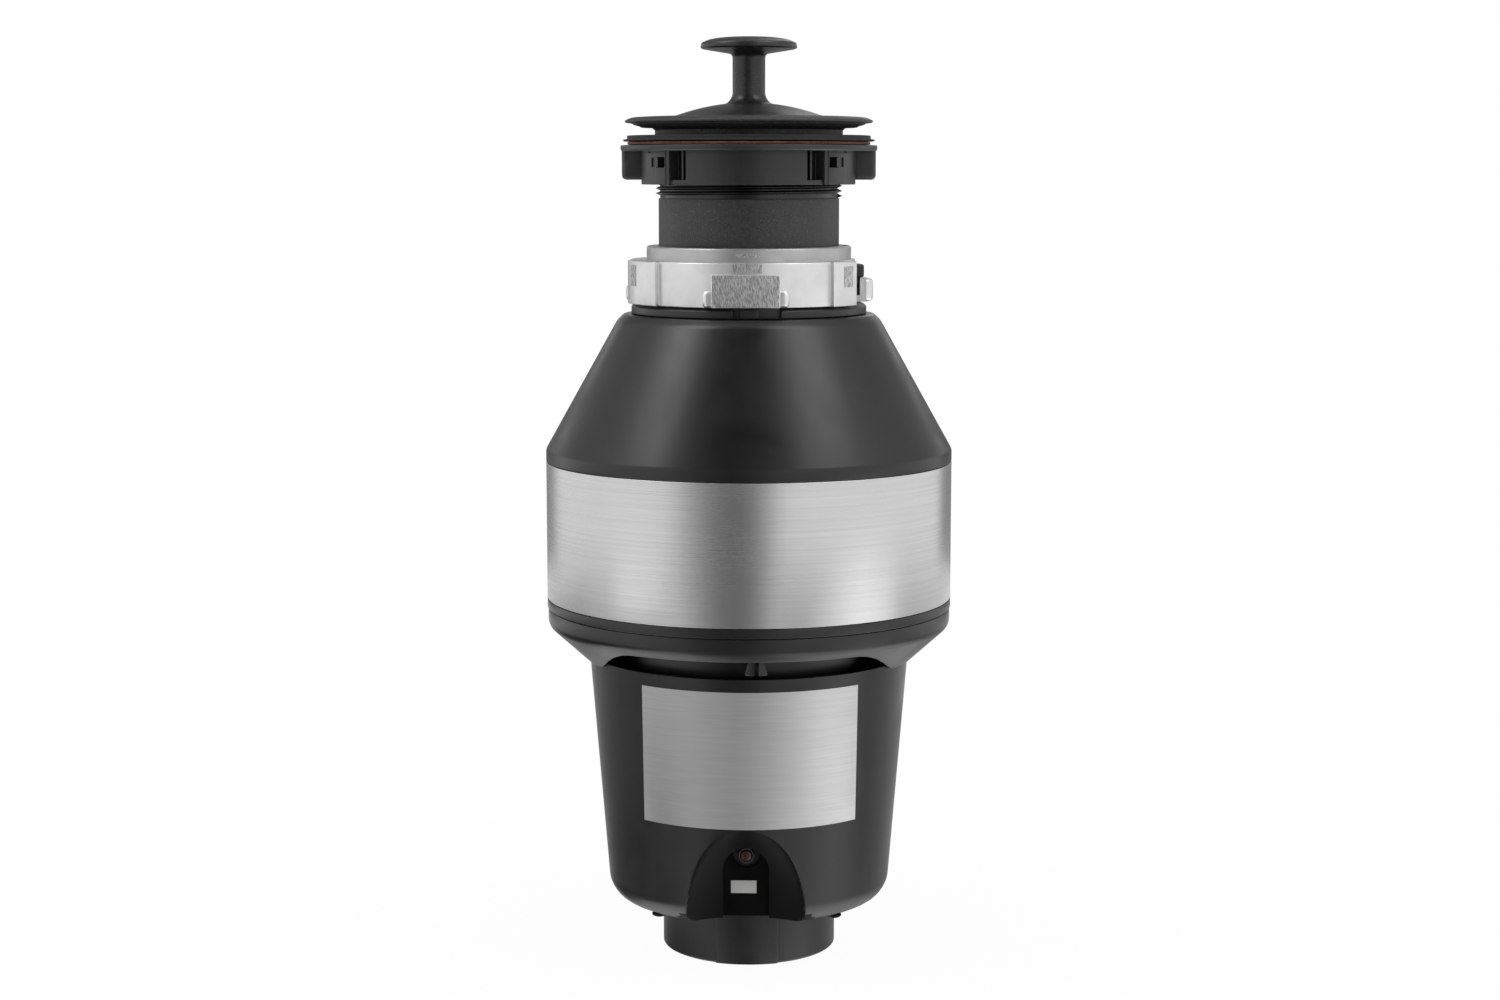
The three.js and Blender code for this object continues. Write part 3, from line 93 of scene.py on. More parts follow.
class Carrier(Enum):
    """The bodies of the frame that a dressed piece can ride on."""

    UNIT = "unit"
    LOCK = "quick_lock"
    GASKETS = "gasket_stack"
    NUT = "winged_nut"
    PLUG = "plug"
    BUTTON = "button"


# ---- places


@dataclass(frozen=True)
class Extent:
    """Where a node of the frame is at rest.

    Attributes:
        low: Its lowest corner.
        high: Its highest corner.
    """

    low: Vector
    high: Vector

    @classmethod
    def of(cls, node: str) -> Extent:
        """The extent of a node by name."""
        low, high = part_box(node)
        return cls(low, high)

    @property
    def bottom(self) -> float:
        """The lowest height."""
        return self.low.z

    @property
    def top(self) -> float:
        """The highest height."""
        return self.high.z

    @property
    def middle(self) -> float:
        """The height of its middle."""
        return (self.low.z + self.high.z) / 2

    @property
    def radius(self) -> float:
        """The reach from the upright axis towards +X."""
        return self.high.x


def polar(radius: float, angle: float, height: float = 0.0) -> Vector:
    """A point by its radius, its angle from the front and its height."""
    turn_by = math.radians(angle)
    return Vector((radius * math.sin(turn_by), -radius * math.cos(turn_by), height))


def arc(radius: float, start: float, end: float) -> list[Vector]:
    """Points along an arc round the upright axis, from one angle to another.

    Args:
        radius: The radius of the arc.
        start: The first angle, in degrees from the front.
        end: The last angle.

    Returns:
        The points, about every ARC_STEP degrees.
    """
    count = max(1, round(abs(end - start) / ARC_STEP))
    return [polar(radius, start + (end - start) * i / count) for i in range(count + 1)]


def curve(start: Vector, pull: Vector, end: Vector, count: int) -> list[Vector]:
    """Points along a quadratic curve from start to end, pulled towards a third point."""
    shares = [i / count for i in range(count + 1)]
    return [(1 - t) ** 2 * start + 2 * t * (1 - t) * pull + t**2 * end for t in shares]


# ---- modelling


def turn(corners: Sequence[Corner], steps: int = ROUND) -> Mesh:
    """Spins a profile about the upright axis into a closed body.

    Args:
        corners: (radius, height) of each corner, or (radius, height, rounding), where the
            rounding is how far from the corner its round starts. A profile that touches the
            axis starts and ends there; any other closes on itself.
        steps: Faces round the body.

    Returns:
        The body.
    """
    bm = bmesh.new()
    verts = [bm.verts.new((corner[0], 0.0, corner[1])) for corner in corners]
    ring = verts if corners[0][0] == 0.0 else [*verts, verts[0]]
    for pair in zip(ring, ring[1:]):
        bm.edges.new(pair)
    for vert, corner in zip(verts, corners):
        if len(corner) > 2:
            bmesh.ops.bevel(
                bm, geom=[vert], offset=corner[2], segments=ROUNDING_STEPS, profile=0.5,
                affect="VERTICES", material=-1,
            )
    bmesh.ops.spin(
        bm, geom=bm.verts[:] + bm.edges[:], cent=(0, 0, 0), axis=(0, 0, 1), dvec=(0, 0, 0),
        angle=math.tau, steps=steps, use_merge=True,
    )
    return tidy(bm)


def tidy(bm: Mesh) -> Mesh:
    """Merges doubles, drops collapsed faces and turns every face outwards."""
    bmesh.ops.remove_doubles(bm, verts=bm.verts, dist=WELD)
    bmesh.ops.dissolve_degenerate(bm, dist=WELD, edges=bm.edges)
    bmesh.ops.recalc_face_normals(bm, faces=bm.faces)
    return bm


def raised(points: Sequence[Vector], bottom: float, top: float) -> Mesh:
    """Raises a flat outline from one height to another.

    Args:
        points: The outline's points; their own heights are not used.
        bottom: The height of its underside.
        top: The height of its upper side.

    Returns:
        The body.
    """
    bm = bmesh.new()
    face = bm.faces.new([bm.verts.new((p.x, p.y, bottom)) for p in points])
    grown = bmesh.ops.extrude_face_region(bm, geom=[face])
    lifted = [item for item in grown["geom"] if isinstance(item, bmesh.types.BMVert)]
    bmesh.ops.translate(bm, verts=lifted, vec=(0, 0, top - bottom))
    return tidy(bm)


def sector(inner: float, outer: float, start: float, end: float, bottom: float, top: float) -> Mesh:
    """A flat sector of a ring, between two radii, two angles and two heights."""
    return raised(arc(outer, start, end) + arc(inner, end, start), bottom, top)


def block(low: Sequence[float], high: Sequence[float], rounding: float = 0.0) -> Mesh:
    """A box between two corners.

    Args:
        low: Its lowest corner.
        high: Its highest corner.
        rounding: How far from each edge its round starts.

    Returns:
        The body.
    """
    bm = bmesh.new()
    start, end = Vector(low), Vector(high)
    place = Matrix.Translation((start + end) / 2) @ Matrix.Diagonal((*(end - start), 1.0))
    bmesh.ops.create_cube(bm, size=1.0, matrix=place)
    if rounding:
        bmesh.ops.bevel(
            bm, geom=bm.edges[:], offset=rounding, segments=3, profile=0.5, affect="EDGES",
            material=-1,
        )
    return bm


def laid_back(bm: Mesh, distance: float, height: float) -> Mesh:
    """Lays an upright body along +Y, with its foot behind the centre line and its axis raised."""
    quarter = Matrix.Rotation(-math.pi / 2, 3, "X")
    bmesh.ops.rotate(bm, verts=bm.verts, cent=(0, 0, 0), matrix=quarter)
    bmesh.ops.translate(bm, verts=bm.verts, vec=(0, distance, height))
    return bm


def swung(bm: Mesh, angle: float) -> Mesh:
    """A copy of a body turned about the upright axis, in degrees."""
    other = bm.copy()
    spin = Matrix.Rotation(math.radians(angle), 3, "Z")
    bmesh.ops.rotate(other, verts=other.verts, cent=(0, 0, 0), matrix=spin)
    return other


def around(bm: Mesh, count: int, start: float = 0.0) -> list[Mesh]:
    """Copies of a body at even angles round the upright axis."""
    return [swung(bm, start + 360.0 * i / count) for i in range(count)]


def rod(radius: float, low: float, high: float, steps: int = ROUND) -> Mesh:
    """An upright cylinder between two heights."""
    return turn([(0.0, low), (radius, low), (radius, high), (0.0, high)], steps)


def mesh_of(bm: Mesh, name: str, *materials: bpy.types.Material | None) -> bpy.types.Mesh:
    """Turns a body into a mesh with the given materials, and frees the body.

    Args:
        bm: The body.
        name: The mesh's name.
        *materials: A material, or none, for each material index that its faces use.

    Returns:
        The mesh.
    """
    mesh = bpy.data.meshes.new(name)
    for material in materials:
        mesh.materials.append(material)
    bm.to_mesh(mesh)
    bm.free()
    return mesh


def placed(name: str, data: bpy.types.ID) -> bpy.types.Object:
    """A new object in the scene, with the given mesh, lamp or camera."""
    thing = bpy.data.objects.new(name, data)
    bpy.context.scene.collection.objects.link(thing)
    return thing


def combine(base: Mesh, tools: Sequence[Mesh], how: Joinery) -> Mesh:
    """Joins bodies to a body, or cuts them out of it.

    Args:
        base: The body to work on.
        tools: The bodies that are joined or cut out, in order.
        how: Which of the two.

    Returns:
        The finished body; the others are used up.
    """
    target = placed("work", mesh_of(base, "work", None, None))
    helpers = [placed("tool", mesh_of(tool, "tool", None, None)) for tool in tools]
    for helper in helpers:
        step = target.modifiers.new("joinery", "BOOLEAN")
        step.operation = how.value
        step.solver = "EXACT"
        step.object = helper
    bpy.context.view_layer.update()
    result = target.evaluated_get(bpy.context.evaluated_depsgraph_get()).to_mesh()
    bm = bmesh.new()
    bm.from_mesh(result)
    for thing in (target, *helpers):
        mesh = thing.data
        bpy.data.objects.remove(thing)
        bpy.data.meshes.remove(mesh)
    return tidy(bm)


def joined(base: Mesh, *tools: Mesh) -> Mesh:
    """The first body with the others joined to it."""
    return combine(base, tools, Joinery.JOIN)


def cut(base: Mesh, *tools: Mesh) -> Mesh:
    """The first body with the others cut out of it."""
    return combine(base, tools, Joinery.CUT)


def everywhere(_: Vector) -> bool:
    """A region without limits."""
    return True


def soften(
    bm: Mesh, width: float, where: Callable[[Vector], bool] = everywhere, sharper_than: float = SHARP
) -> Mesh:
    """Rounds the sharp edges of a body in one region.

    Args:
        bm: The body.
        width: How far from each edge its round starts.
        where: Says whether an edge's middle is in the region.
        sharper_than: Degrees between the faces above which an edge is rounded.

    Returns:
        The same body.
    """
    limit = math.radians(sharper_than)
    edges = [
        edge for edge in bm.edges
        if len(edge.link_faces) == 2 and edge.calc_face_angle() > limit
        and where((edge.verts[0].co + edge.verts[1].co) / 2)
    ]
    bmesh.ops.bevel(
        bm, geom=edges, offset=width, segments=3, profile=0.5, affect="EDGES", material=-1,
        clamp_overlap=True,
    )
    return tidy(bm)


# ---- shader wiring


class Graph:
    """Adds and links the nodes of one material or group."""

    def __init__(self, tree: bpy.types.NodeTree) -> None:
        """Starts with the given tree.

        Args:
            tree: The node tree to fill.
        """
        self.tree = tree

    def add(
        self, kind: str, inputs: Mapping[str | int, object] | None = None, **settings: object
    ) -> bpy.types.Node:
        """Adds a node.

        Args:
            kind: The node's type, without its ShaderNode prefix.
            inputs: Values or sockets for its inputs, by name or index.
            **settings: The node's own properties.

        Returns:
            The node.
        """
        node = self.tree.nodes.new("ShaderNode" + kind)
        for key, value in settings.items():
            setattr(node, key, value)
        for key, value in (inputs or {}).items():
            if isinstance(value, Socket):
                self.tree.links.new(value, node.inputs[key])
            else:
                node.inputs[key].default_value = value
        return node

    def maths(self, operation: str, *values: object) -> Socket:
        """The result of a math node on up to three values or sockets."""
        return self.add("Math", dict(enumerate(values)), operation=operation).outputs[0]

    def times(self, first: object, second: object) -> Socket:
        """The product of two values or sockets."""
        return self.maths("MULTIPLY", first, second)

    def span(
        self, value: object, low: float, high: float, to_low: float = 0.0, to_high: float = 1.0
    ) -> Socket:
        """A value mapped from one range to another, smoothly and without overshoot."""
        ends = {"From Min": low, "From Max": high, "To Min": to_low, "To Max": to_high}
        return self.add("MapRange", {"Value": value, **ends}, interpolation_type="SMOOTHSTEP").outputs[0]

    def between(self, share: object, first: object, second: object) -> Socket:
        """A value between two others, by a share of the second."""
        return self.add("Mix", {0: share, 2: first, 3: second}).outputs[0]

    def blend(self, share: object, first: object, second: object) -> Socket:
        """Two colours mixed by a share of the second."""
        inputs = {0: share, 6: first, 7: second}
        return self.add("Mix", inputs, data_type="RGBA", blend_type="MIX", clamp_factor=True).outputs[2]

    def place(self) -> Socket:
        """The object coordinates."""
        return self.add("TexCoord").outputs["Object"]

    def stretched(self, vector: Socket, factors: object) -> Socket:
        """A vector multiplied part by part."""
        return self.add("VectorMath", {0: vector, 1: factors}, operation="MULTIPLY").outputs[0]

    def noise(
        self, scale: object, detail: float = 3.0, vector: Socket | None = None, **inputs: object
    ) -> Socket:
        """A noise value on the object coordinates, or on another vector."""
        settings = {"Vector": vector or self.place(), "Scale": scale, "Detail": detail, **inputs}
        return self.add("TexNoise", settings).outputs[0]

    def cells(self, scale: object) -> Socket:
        """The distance to the middle of the nearest cell, on the object coordinates."""
        return self.add("TexVoronoi", {"Vector": self.place(), "Scale": scale}).outputs["Distance"]


def blank_material(name: str) -> tuple[bpy.types.Material, Graph]:
    """A new material without nodes, and the graph to wire it with."""
    made = bpy.data.materials.new(name)
    made.use_nodes = True
    made.node_tree.nodes.clear()
    return made, Graph(made.node_tree)


class Effect(ABC):
    """A surface effect that several finishes share, built once as a node group.

    Attributes:
        title: The node group's name.
        takes: The group's inputs, with their defaults.
        gives: The group's outputs.
    """

    title: str
    takes: Mapping[str, float]
    gives: Sequence[str]

    @abstractmethod
    def wire(self, graph: Graph, given: Mapping[str, Socket]) -> Mapping[str, Socket]:
        """Fills the group.

        Args:
            graph: The group's graph.
            given: The group's inputs by name.

        Returns:
            A socket for each output by name.
        """

    def group(self) -> bpy.types.NodeTree:
        """The effect's node group, built the first time that it is asked for.

        Returns:
            The group's tree.
        """
        known = bpy.data.node_groups.get(self.title)
        if known:
            return known
        tree = bpy.data.node_groups.new(self.title, "ShaderNodeTree")
        for name, default in self.takes.items():
            socket = tree.interface.new_socket(name, in_out="INPUT", socket_type="NodeSocketFloat")
            socket.default_value = default
        for name in self.gives:
            tree.interface.new_socket(name, in_out="OUTPUT", socket_type="NodeSocketFloat")
        start, end = tree.nodes.new("NodeGroupInput"), tree.nodes.new("NodeGroupOutput")
        given = {name: start.outputs[name] for name in self.takes}
        for name, socket in self.wire(Graph(tree), given).items():
            tree.links.new(socket, end.inputs[name])
        return tree

    def within(self, graph: Graph, **values: float) -> Mapping[str, Socket]:
        """Places the effect in a material.

        Args:
            graph: The material's graph.
            **values: The group's inputs, with underscores for spaces.

        Returns:
            The group's outputs by name.
        """
        node = graph.add("Group", node_tree=self.group())
        for name, value in values.items():
            node.inputs[name.replace("_", " ")].default_value = value
        return {name: node.outputs[name] for name in self.gives}


class MouldGrain(Effect):
    """The fine spark-eroded grain that a mould leaves on plastic."""

    title = "mould grain"
    takes = {"Scale": 900.0}
    gives = ("Height", "Flecks")

    def wire(self, graph: Graph, given: Mapping[str, Socket]) -> Mapping[str, Socket]:
        """Two noises and a cell pattern, as a height and as pale flecks."""
        coarse = graph.noise(given["Scale"], 2.0, Roughness=0.55)
        cells = graph.cells(given["Scale"])
        height = graph.maths("MULTIPLY_ADD", cells, 0.45, graph.times(coarse, 0.8))
        fine = graph.noise(graph.times(given["Scale"], 1.9), 1.0)
        return {"Height": height, "Flecks": graph.span(fine, 0.52, 0.72)}


class Handling(Effect):
    """Broad faint patches where a surface has been handled and wiped."""

    title = "handling marks"
    takes = {"Scale": 28.0}
    gives = ("Patches",)

    def wire(self, graph: Graph, given: Mapping[str, Socket]) -> Mapping[str, Socket]:
        """A distorted low noise."""
        return {"Patches": graph.span(graph.noise(given["Scale"], 4.0, Distortion=0.7), 0.38, 0.66)}


class RubbedAndLitEdges(Effect):
    """Convex edges scuffed in handling, and lightened as a painted edge highlight."""

    # The mask is real edge wear together with a painted edge highlight.
    title = "rubbed edges"
    takes = {"Amount": 0.5}
    gives = ("Mask",)

    def wire(self, graph: Graph, given: Mapping[str, Socket]) -> Mapping[str, Socket]:
        """The mesh's own sharpness, broken up by noise."""
        sharp = graph.span(graph.add("NewGeometry").outputs["Pointiness"], 0.51, 0.6)
        broken = graph.span(graph.noise(160.0, 3.0), 0.4, 0.62)
        return {"Mask": graph.times(graph.times(sharp, broken), given["Amount"])}


class SettledDust(Effect):
    """A trace of dust on surfaces that face up."""

    title = "settled dust"
    takes = {"Amount": 0.2}
    gives = ("Mask",)

    def wire(self, graph: Graph, given: Mapping[str, Socket]) -> Mapping[str, Socket]:
        """How far the surface faces up, broken up by noise."""
        upward = graph.add("SeparateXYZ", {0: graph.add("NewGeometry").outputs["Normal"]}).outputs["Z"]
        facing = graph.span(upward, 0.35, 1.0)
        broken = graph.span(graph.noise(75.0, 5.0, Roughness=0.65), 0.36, 0.72)
        return {"Mask": graph.times(graph.times(facing, broken), given["Amount"])}


class Brushing(Effect):
    """Long fine lines left by a brushing belt, running level round the piece."""

    title = "brushing"
    takes = {"Along": 14.0, "Across": 5200.0}
    gives = ("Height", "Tone")

    def wire(self, graph: Graph, given: Mapping[str, Socket]) -> Mapping[str, Socket]:
        """Noise drawn out along the level directions."""
        stretch = graph.add("CombineXYZ", {"X": given["Along"], "Y": given["Along"], "Z": given["Across"]})
        vector = graph.stretched(graph.place(), stretch.outputs[0])
        lines = graph.noise(1.0, 4.0, vector, Roughness=0.6)
        bands = graph.noise(1.0, 3.0, graph.stretched(vector, (0.35, 0.35, 0.16)), Roughness=0.5)
        tone = graph.maths("ADD", graph.times(lines, 0.75), graph.times(bands, 0.25))
        return {"Height": lines, "Tone": graph.span(tone, 0.32, 0.68)}


class CastSkin(Effect):
    """The rippled, slightly pitted skin of a die casting."""

    title = "cast skin"
    takes = {"Scale": 130.0}
    gives = ("Height", "Mottle", "Pits")

    def wire(self, graph: Graph, given: Mapping[str, Socket]) -> Mapping[str, Socket]:
        """Soft ripples, finer grit and scattered pits."""
        ripples = graph.noise(given["Scale"], 4.0, Roughness=0.6, Distortion=0.4)
        grit = graph.noise(graph.times(given["Scale"], 11.0), 2.0)
        cells = graph.cells(graph.times(given["Scale"], 4.5))
        pits = graph.times(graph.span(cells, 0.16, 0.02), graph.span(ripples, 0.5, 0.66))
        height = graph.maths("MULTIPLY_ADD", grit, 0.3, graph.maths("SUBTRACT", ripples, pits))
        return {"Height": height, "Mottle": graph.span(ripples, 0.34, 0.7), "Pits": pits}


# ---- finishes


@dataclass(frozen=True)
class Finish(ABC):
    """A surface finish.

    Attributes:
        name: The material's name.
        slot: The record's material slot; not used here.
        colour: Its base colour, linear.
        roughness: Its base roughness.
        depth: Real depth of its relief.
    """

    name: str
    slot: str
    colour: Triple
    roughness: float
    depth: float = 0.003 * MM

    @property
    def rgba(self) -> RGBA:
        """The colour with an alpha of one."""
        return (*self.colour, 1.0)

    def tint(self, factor: float, warmth: float = 0.0) -> RGBA:
        """The colour made lighter or darker, and warmer, kept below white."""
        red, green, blue = (min(0.95, part * factor) for part in self.colour)
        return (red * (1 + warmth), green, blue * (1 - warmth), 1.0)

    def material(self) -> bpy.types.Material:
        """The material, wired the first time that it is asked for."""
        known = bpy.data.materials.get(self.name)
        if known:
            return known
        made, graph = blank_material(self.name)
        shader = graph.add("BsdfPrincipled", {"Base Color": self.rgba, "Roughness": self.roughness})
        end = graph.add("OutputMaterial", {"Surface": shader.outputs[0]})
        end.is_active_output = True
        self.wire(graph, shader)
        return made

    @abstractmethod
    def wire(self, graph: Graph, shader: bpy.types.Node) -> None:
        """Wires the finish's detail into its shader.

        Args:
            graph: The material's graph.
            shader: Its Principled node.
        """

    def feed(
        self, graph: Graph, shader: bpy.types.Node, colour: Socket, rough: Socket, height: Socket
    ) -> None:
        """Links the tone, the gloss and the relief to the shader.

        Args:
            graph: The material's graph.
            shader: Its Principled node.
            colour: The tone.
            rough: The roughness.
            height: The relief, from 0 to 1 of the finish's depth.
        """
        inputs = {"Height": height, "Distance": self.depth, "Strength": 1.0}
        normal = graph.add("Bump", inputs).outputs["Normal"]
        for name, socket in (("Base Color", colour), ("Roughness", rough), ("Normal", normal)):
            graph.tree.links.new(socket, shader.inputs[name])


@dataclass(frozen=True)
class Moulding(Finish):
    """Moulded plastic or rubber.

    Attributes:
        grain: Grain cells per metre.
        flecks: How far the grain shows as pale flecks.
        dust: How much dust lies on it.
        rubbing_and_highlight: How far its edges are scuffed, and lightened as a painted edge highlight.
        ior: Its index of refraction.
        patches: Uneven patches per metre.
        unevenness: How far those patches differ in tone.
    """

    grain: float = 2200.0
    flecks: float = 0.02
    dust: float = 0.0
    rubbing_and_highlight: float = 0.3
    ior: float = 1.53
    patches: float = 26.0
    unevenness: float = 0.12

    def wire(self, graph: Graph, shader: bpy.types.Node) -> None:
        """Grain, wiped patches, scuffed edges with a painted edge highlight, and a little dust."""
        shader.inputs["IOR"].default_value = self.ior
        grain = MouldGrain().within(graph, Scale=self.grain)
        patches = Handling().within(graph, Scale=self.patches)["Patches"]
        rubbed_and_lit = RubbedAndLitEdges().within(graph, Amount=self.rubbing_and_highlight)["Mask"]
        dust = SettledDust().within(graph, Amount=self.dust)["Mask"]
        flecked = graph.blend(graph.times(grain["Flecks"], self.flecks), self.rgba, self.tint(9.0))
        wiped = graph.blend(graph.times(patches, self.unevenness), flecked, self.tint(1.6, 0.01))
        # Edge wear together with a painted edge highlight: convex edges lightened.
        worn_and_lit = graph.blend(rubbed_and_lit, wiped, self.tint(4.0))
        dusty = graph.blend(dust, worn_and_lit, DUST_COLOUR)
        uneven = graph.maths("MULTIPLY_ADD", patches, 0.07, self.roughness - 0.03)
        matted = graph.maths("MULTIPLY_ADD", dust, 0.4, uneven)
        self.feed(graph, shader, dusty, matted, grain["Height"])


@dataclass(frozen=True)
class BrushedSheet(Finish):
    """Sheet metal with level brushing.

    Attributes:
        along: Pattern lengths per metre along the lines.
        across: Lines per metre.
        depth: Depth of the lines.
        anisotropy: How far the gloss spreads across the lines.
        turn: Turn of the gloss, as a share of a circle.
    """

    along: float = 14.0
    across: float = 5200.0
    depth: float = 0.004 * MM
    anisotropy: float = 0.7
    turn: float = 0.0

    def wire(self, graph: Graph, shader: bpy.types.Node) -> None:
        """Brushed lines in the tone, the gloss and the relief."""
        shader.inputs["Metallic"].default_value = 1.0
        shader.inputs["Anisotropic"].default_value = self.anisotropy
        shader.inputs["Anisotropic Rotation"].default_value = self.turn
        lines = Brushing().within(graph, Along=self.along, Across=self.across)
        patches = Handling().within(graph, Scale=18.0)["Patches"]
        toned = graph.blend(lines["Tone"], self.tint(0.92), self.tint(1.06))
        wiped = graph.blend(graph.times(patches, 0.15), toned, self.tint(0.93, 0.006))
        gloss = graph.maths("MULTIPLY_ADD", lines["Tone"], -0.04, self.roughness + 0.02)
        uneven = graph.maths("MULTIPLY_ADD", patches, 0.03, gloss)
        self.feed(graph, shader, wiped, uneven, lines["Height"])


@dataclass(frozen=True)
class Casting(Finish):
    """Die-cast or machined metal.

    Attributes:
        skin: Ripples per metre.
        depth: Depth of the skin.
        mottle: How far the tone varies.
        metal: Its metallic share.
    """

    skin: float = 130.0
    depth: float = 0.014 * MM
    mottle: float = 0.15
    metal: float = 1.0

    def wire(self, graph: Graph, shader: bpy.types.Node) -> None:
        """Ripples, mottled tone, pits, and scuffed edges that also carry a faint painted edge highlight.
        """
        shader.inputs["Metallic"].default_value = self.metal
        skin = CastSkin().within(graph, Scale=self.skin)
        rubbed_and_lit = RubbedAndLitEdges().within(graph, Amount=0.7)["Mask"]
        toned = graph.blend(graph.times(skin["Mottle"], self.mottle), self.rgba, self.tint(0.78, 0.004))
        pitted = graph.blend(graph.times(skin["Pits"], 1.4 * self.mottle), toned, self.tint(0.35))
        # Edge wear together with a faint painted edge highlight.
        worn_and_lit = graph.blend(rubbed_and_lit, pitted, self.tint(1.2))
        rough = graph.maths("MULTIPLY_ADD", skin["Mottle"], 0.14, self.roughness - 0.05)
        smoothed = graph.maths("MULTIPLY_ADD", rubbed_and_lit, -0.12, rough)
        self.feed(graph, shader, worn_and_lit, smoothed, skin["Height"])


@dataclass(frozen=True)
class GroundCasting(Finish):
    """Cast metal where a gate or flash was ground off: rough and scored upright.

    Attributes:
        scores: Scores per metre, along X, Y and Z.
        slant: Lean of the scores, in radians.
        depth: Depth of the scores.
        metal: Its metallic share.
    """

    scores: Triple = (2500.0, 2500.0, 480.0)
    slant: float = 0.16
    depth: float = 0.06 * MM
    metal: float = 0.85

    def wire(self, graph: Graph, shader: bpy.types.Node) -> None:
        """Short upright scores over coarse grit."""
        shader.inputs["Metallic"].default_value = self.metal
        lean = {"Vector": graph.place(), "Angle": self.slant}
        slanted = graph.add("VectorRotate", lean, rotation_type="Y_AXIS").outputs[0]
        stretched = graph.stretched(slanted, self.scores)
        scores = graph.noise(1.0, 3.0, stretched, Roughness=0.55, Distortion=0.2)
        grit = graph.noise(900.0, 3.0)
        height = graph.maths("MULTIPLY_ADD", grit, 0.5, scores)
        tone = graph.span(scores, 0.34, 0.66)
        colour = graph.blend(tone, self.tint(0.55), self.tint(1.35))
        rough = graph.maths("MULTIPLY_ADD", tone, -0.15, self.roughness)
        self.feed(graph, shader, colour, rough, height)


@dataclass(frozen=True)
class Pressed(Finish):
    """Pressed, sintered or woven stock: board, foam, carbon and ferrite.

    Attributes:
        grit: Grains per metre.
        depth: Depth of the grains.
        contrast: How far the grains differ in tone.
        metal: Its metallic share.
    """

    grit: float = 700.0
    depth: float = 0.03 * MM
    contrast: float = 0.5
    metal: float = 0.0

    def wire(self, graph: Graph, shader: bpy.types.Node) -> None:
        """Grains in the tone, the gloss and the relief."""
        shader.inputs["Metallic"].default_value = self.metal
        grains = graph.noise(self.grit, 4.0, Roughness=0.7)
        broad = graph.noise(self.grit * 0.12, 2.0)
        mixed = graph.maths("MULTIPLY_ADD", broad, 0.4, graph.times(grains, 0.6))
        tone = graph.span(mixed, 0.36, 0.64)
        dark, light = self.tint(1 - self.contrast / 2), self.tint(1 + self.contrast / 2, 0.01)
        colour = graph.blend(tone, dark, light)
        rough = graph.maths("MULTIPLY_ADD", tone, 0.08, self.roughness - 0.04)
        self.feed(graph, shader, colour, rough, grains)


@dataclass(frozen=True)
class Windings(Finish):
    """Enamelled wire wound in layers, or a commutator's bars.

    Attributes:
        layers: Wires per metre of height.
        depth: Depth between the wires.
    """

    layers: float = 900.0
    depth: float = 0.1 * MM

    def wire(self, graph: Graph, shader: bpy.types.Node) -> None:
        """Level rounds of wire, painted shade where they dip between the wires, and a little varnish
        unevenness.
        """
        shader.inputs["Metallic"].default_value = 0.9
        waves = {"Vector": graph.place(), "Scale": self.layers / 3.2, "Distortion": 0.8, "Detail": 2.0}
        rounds = graph.add("TexWave", waves, bands_direction="Z").outputs[1]
        patches = Handling().within(graph, Scale=60.0)["Patches"]
        # Painted shade: the tone darkens where the rounds dip between the wires.
        toned = graph.blend(rounds, self.tint(0.5), self.rgba)
        colour = graph.blend(graph.times(patches, 0.4), toned, self.tint(0.7, 0.05))
        rough = graph.maths("MULTIPLY_ADD", patches, 0.12, self.roughness)
        self.feed(graph, shader, colour, rough, rounds)


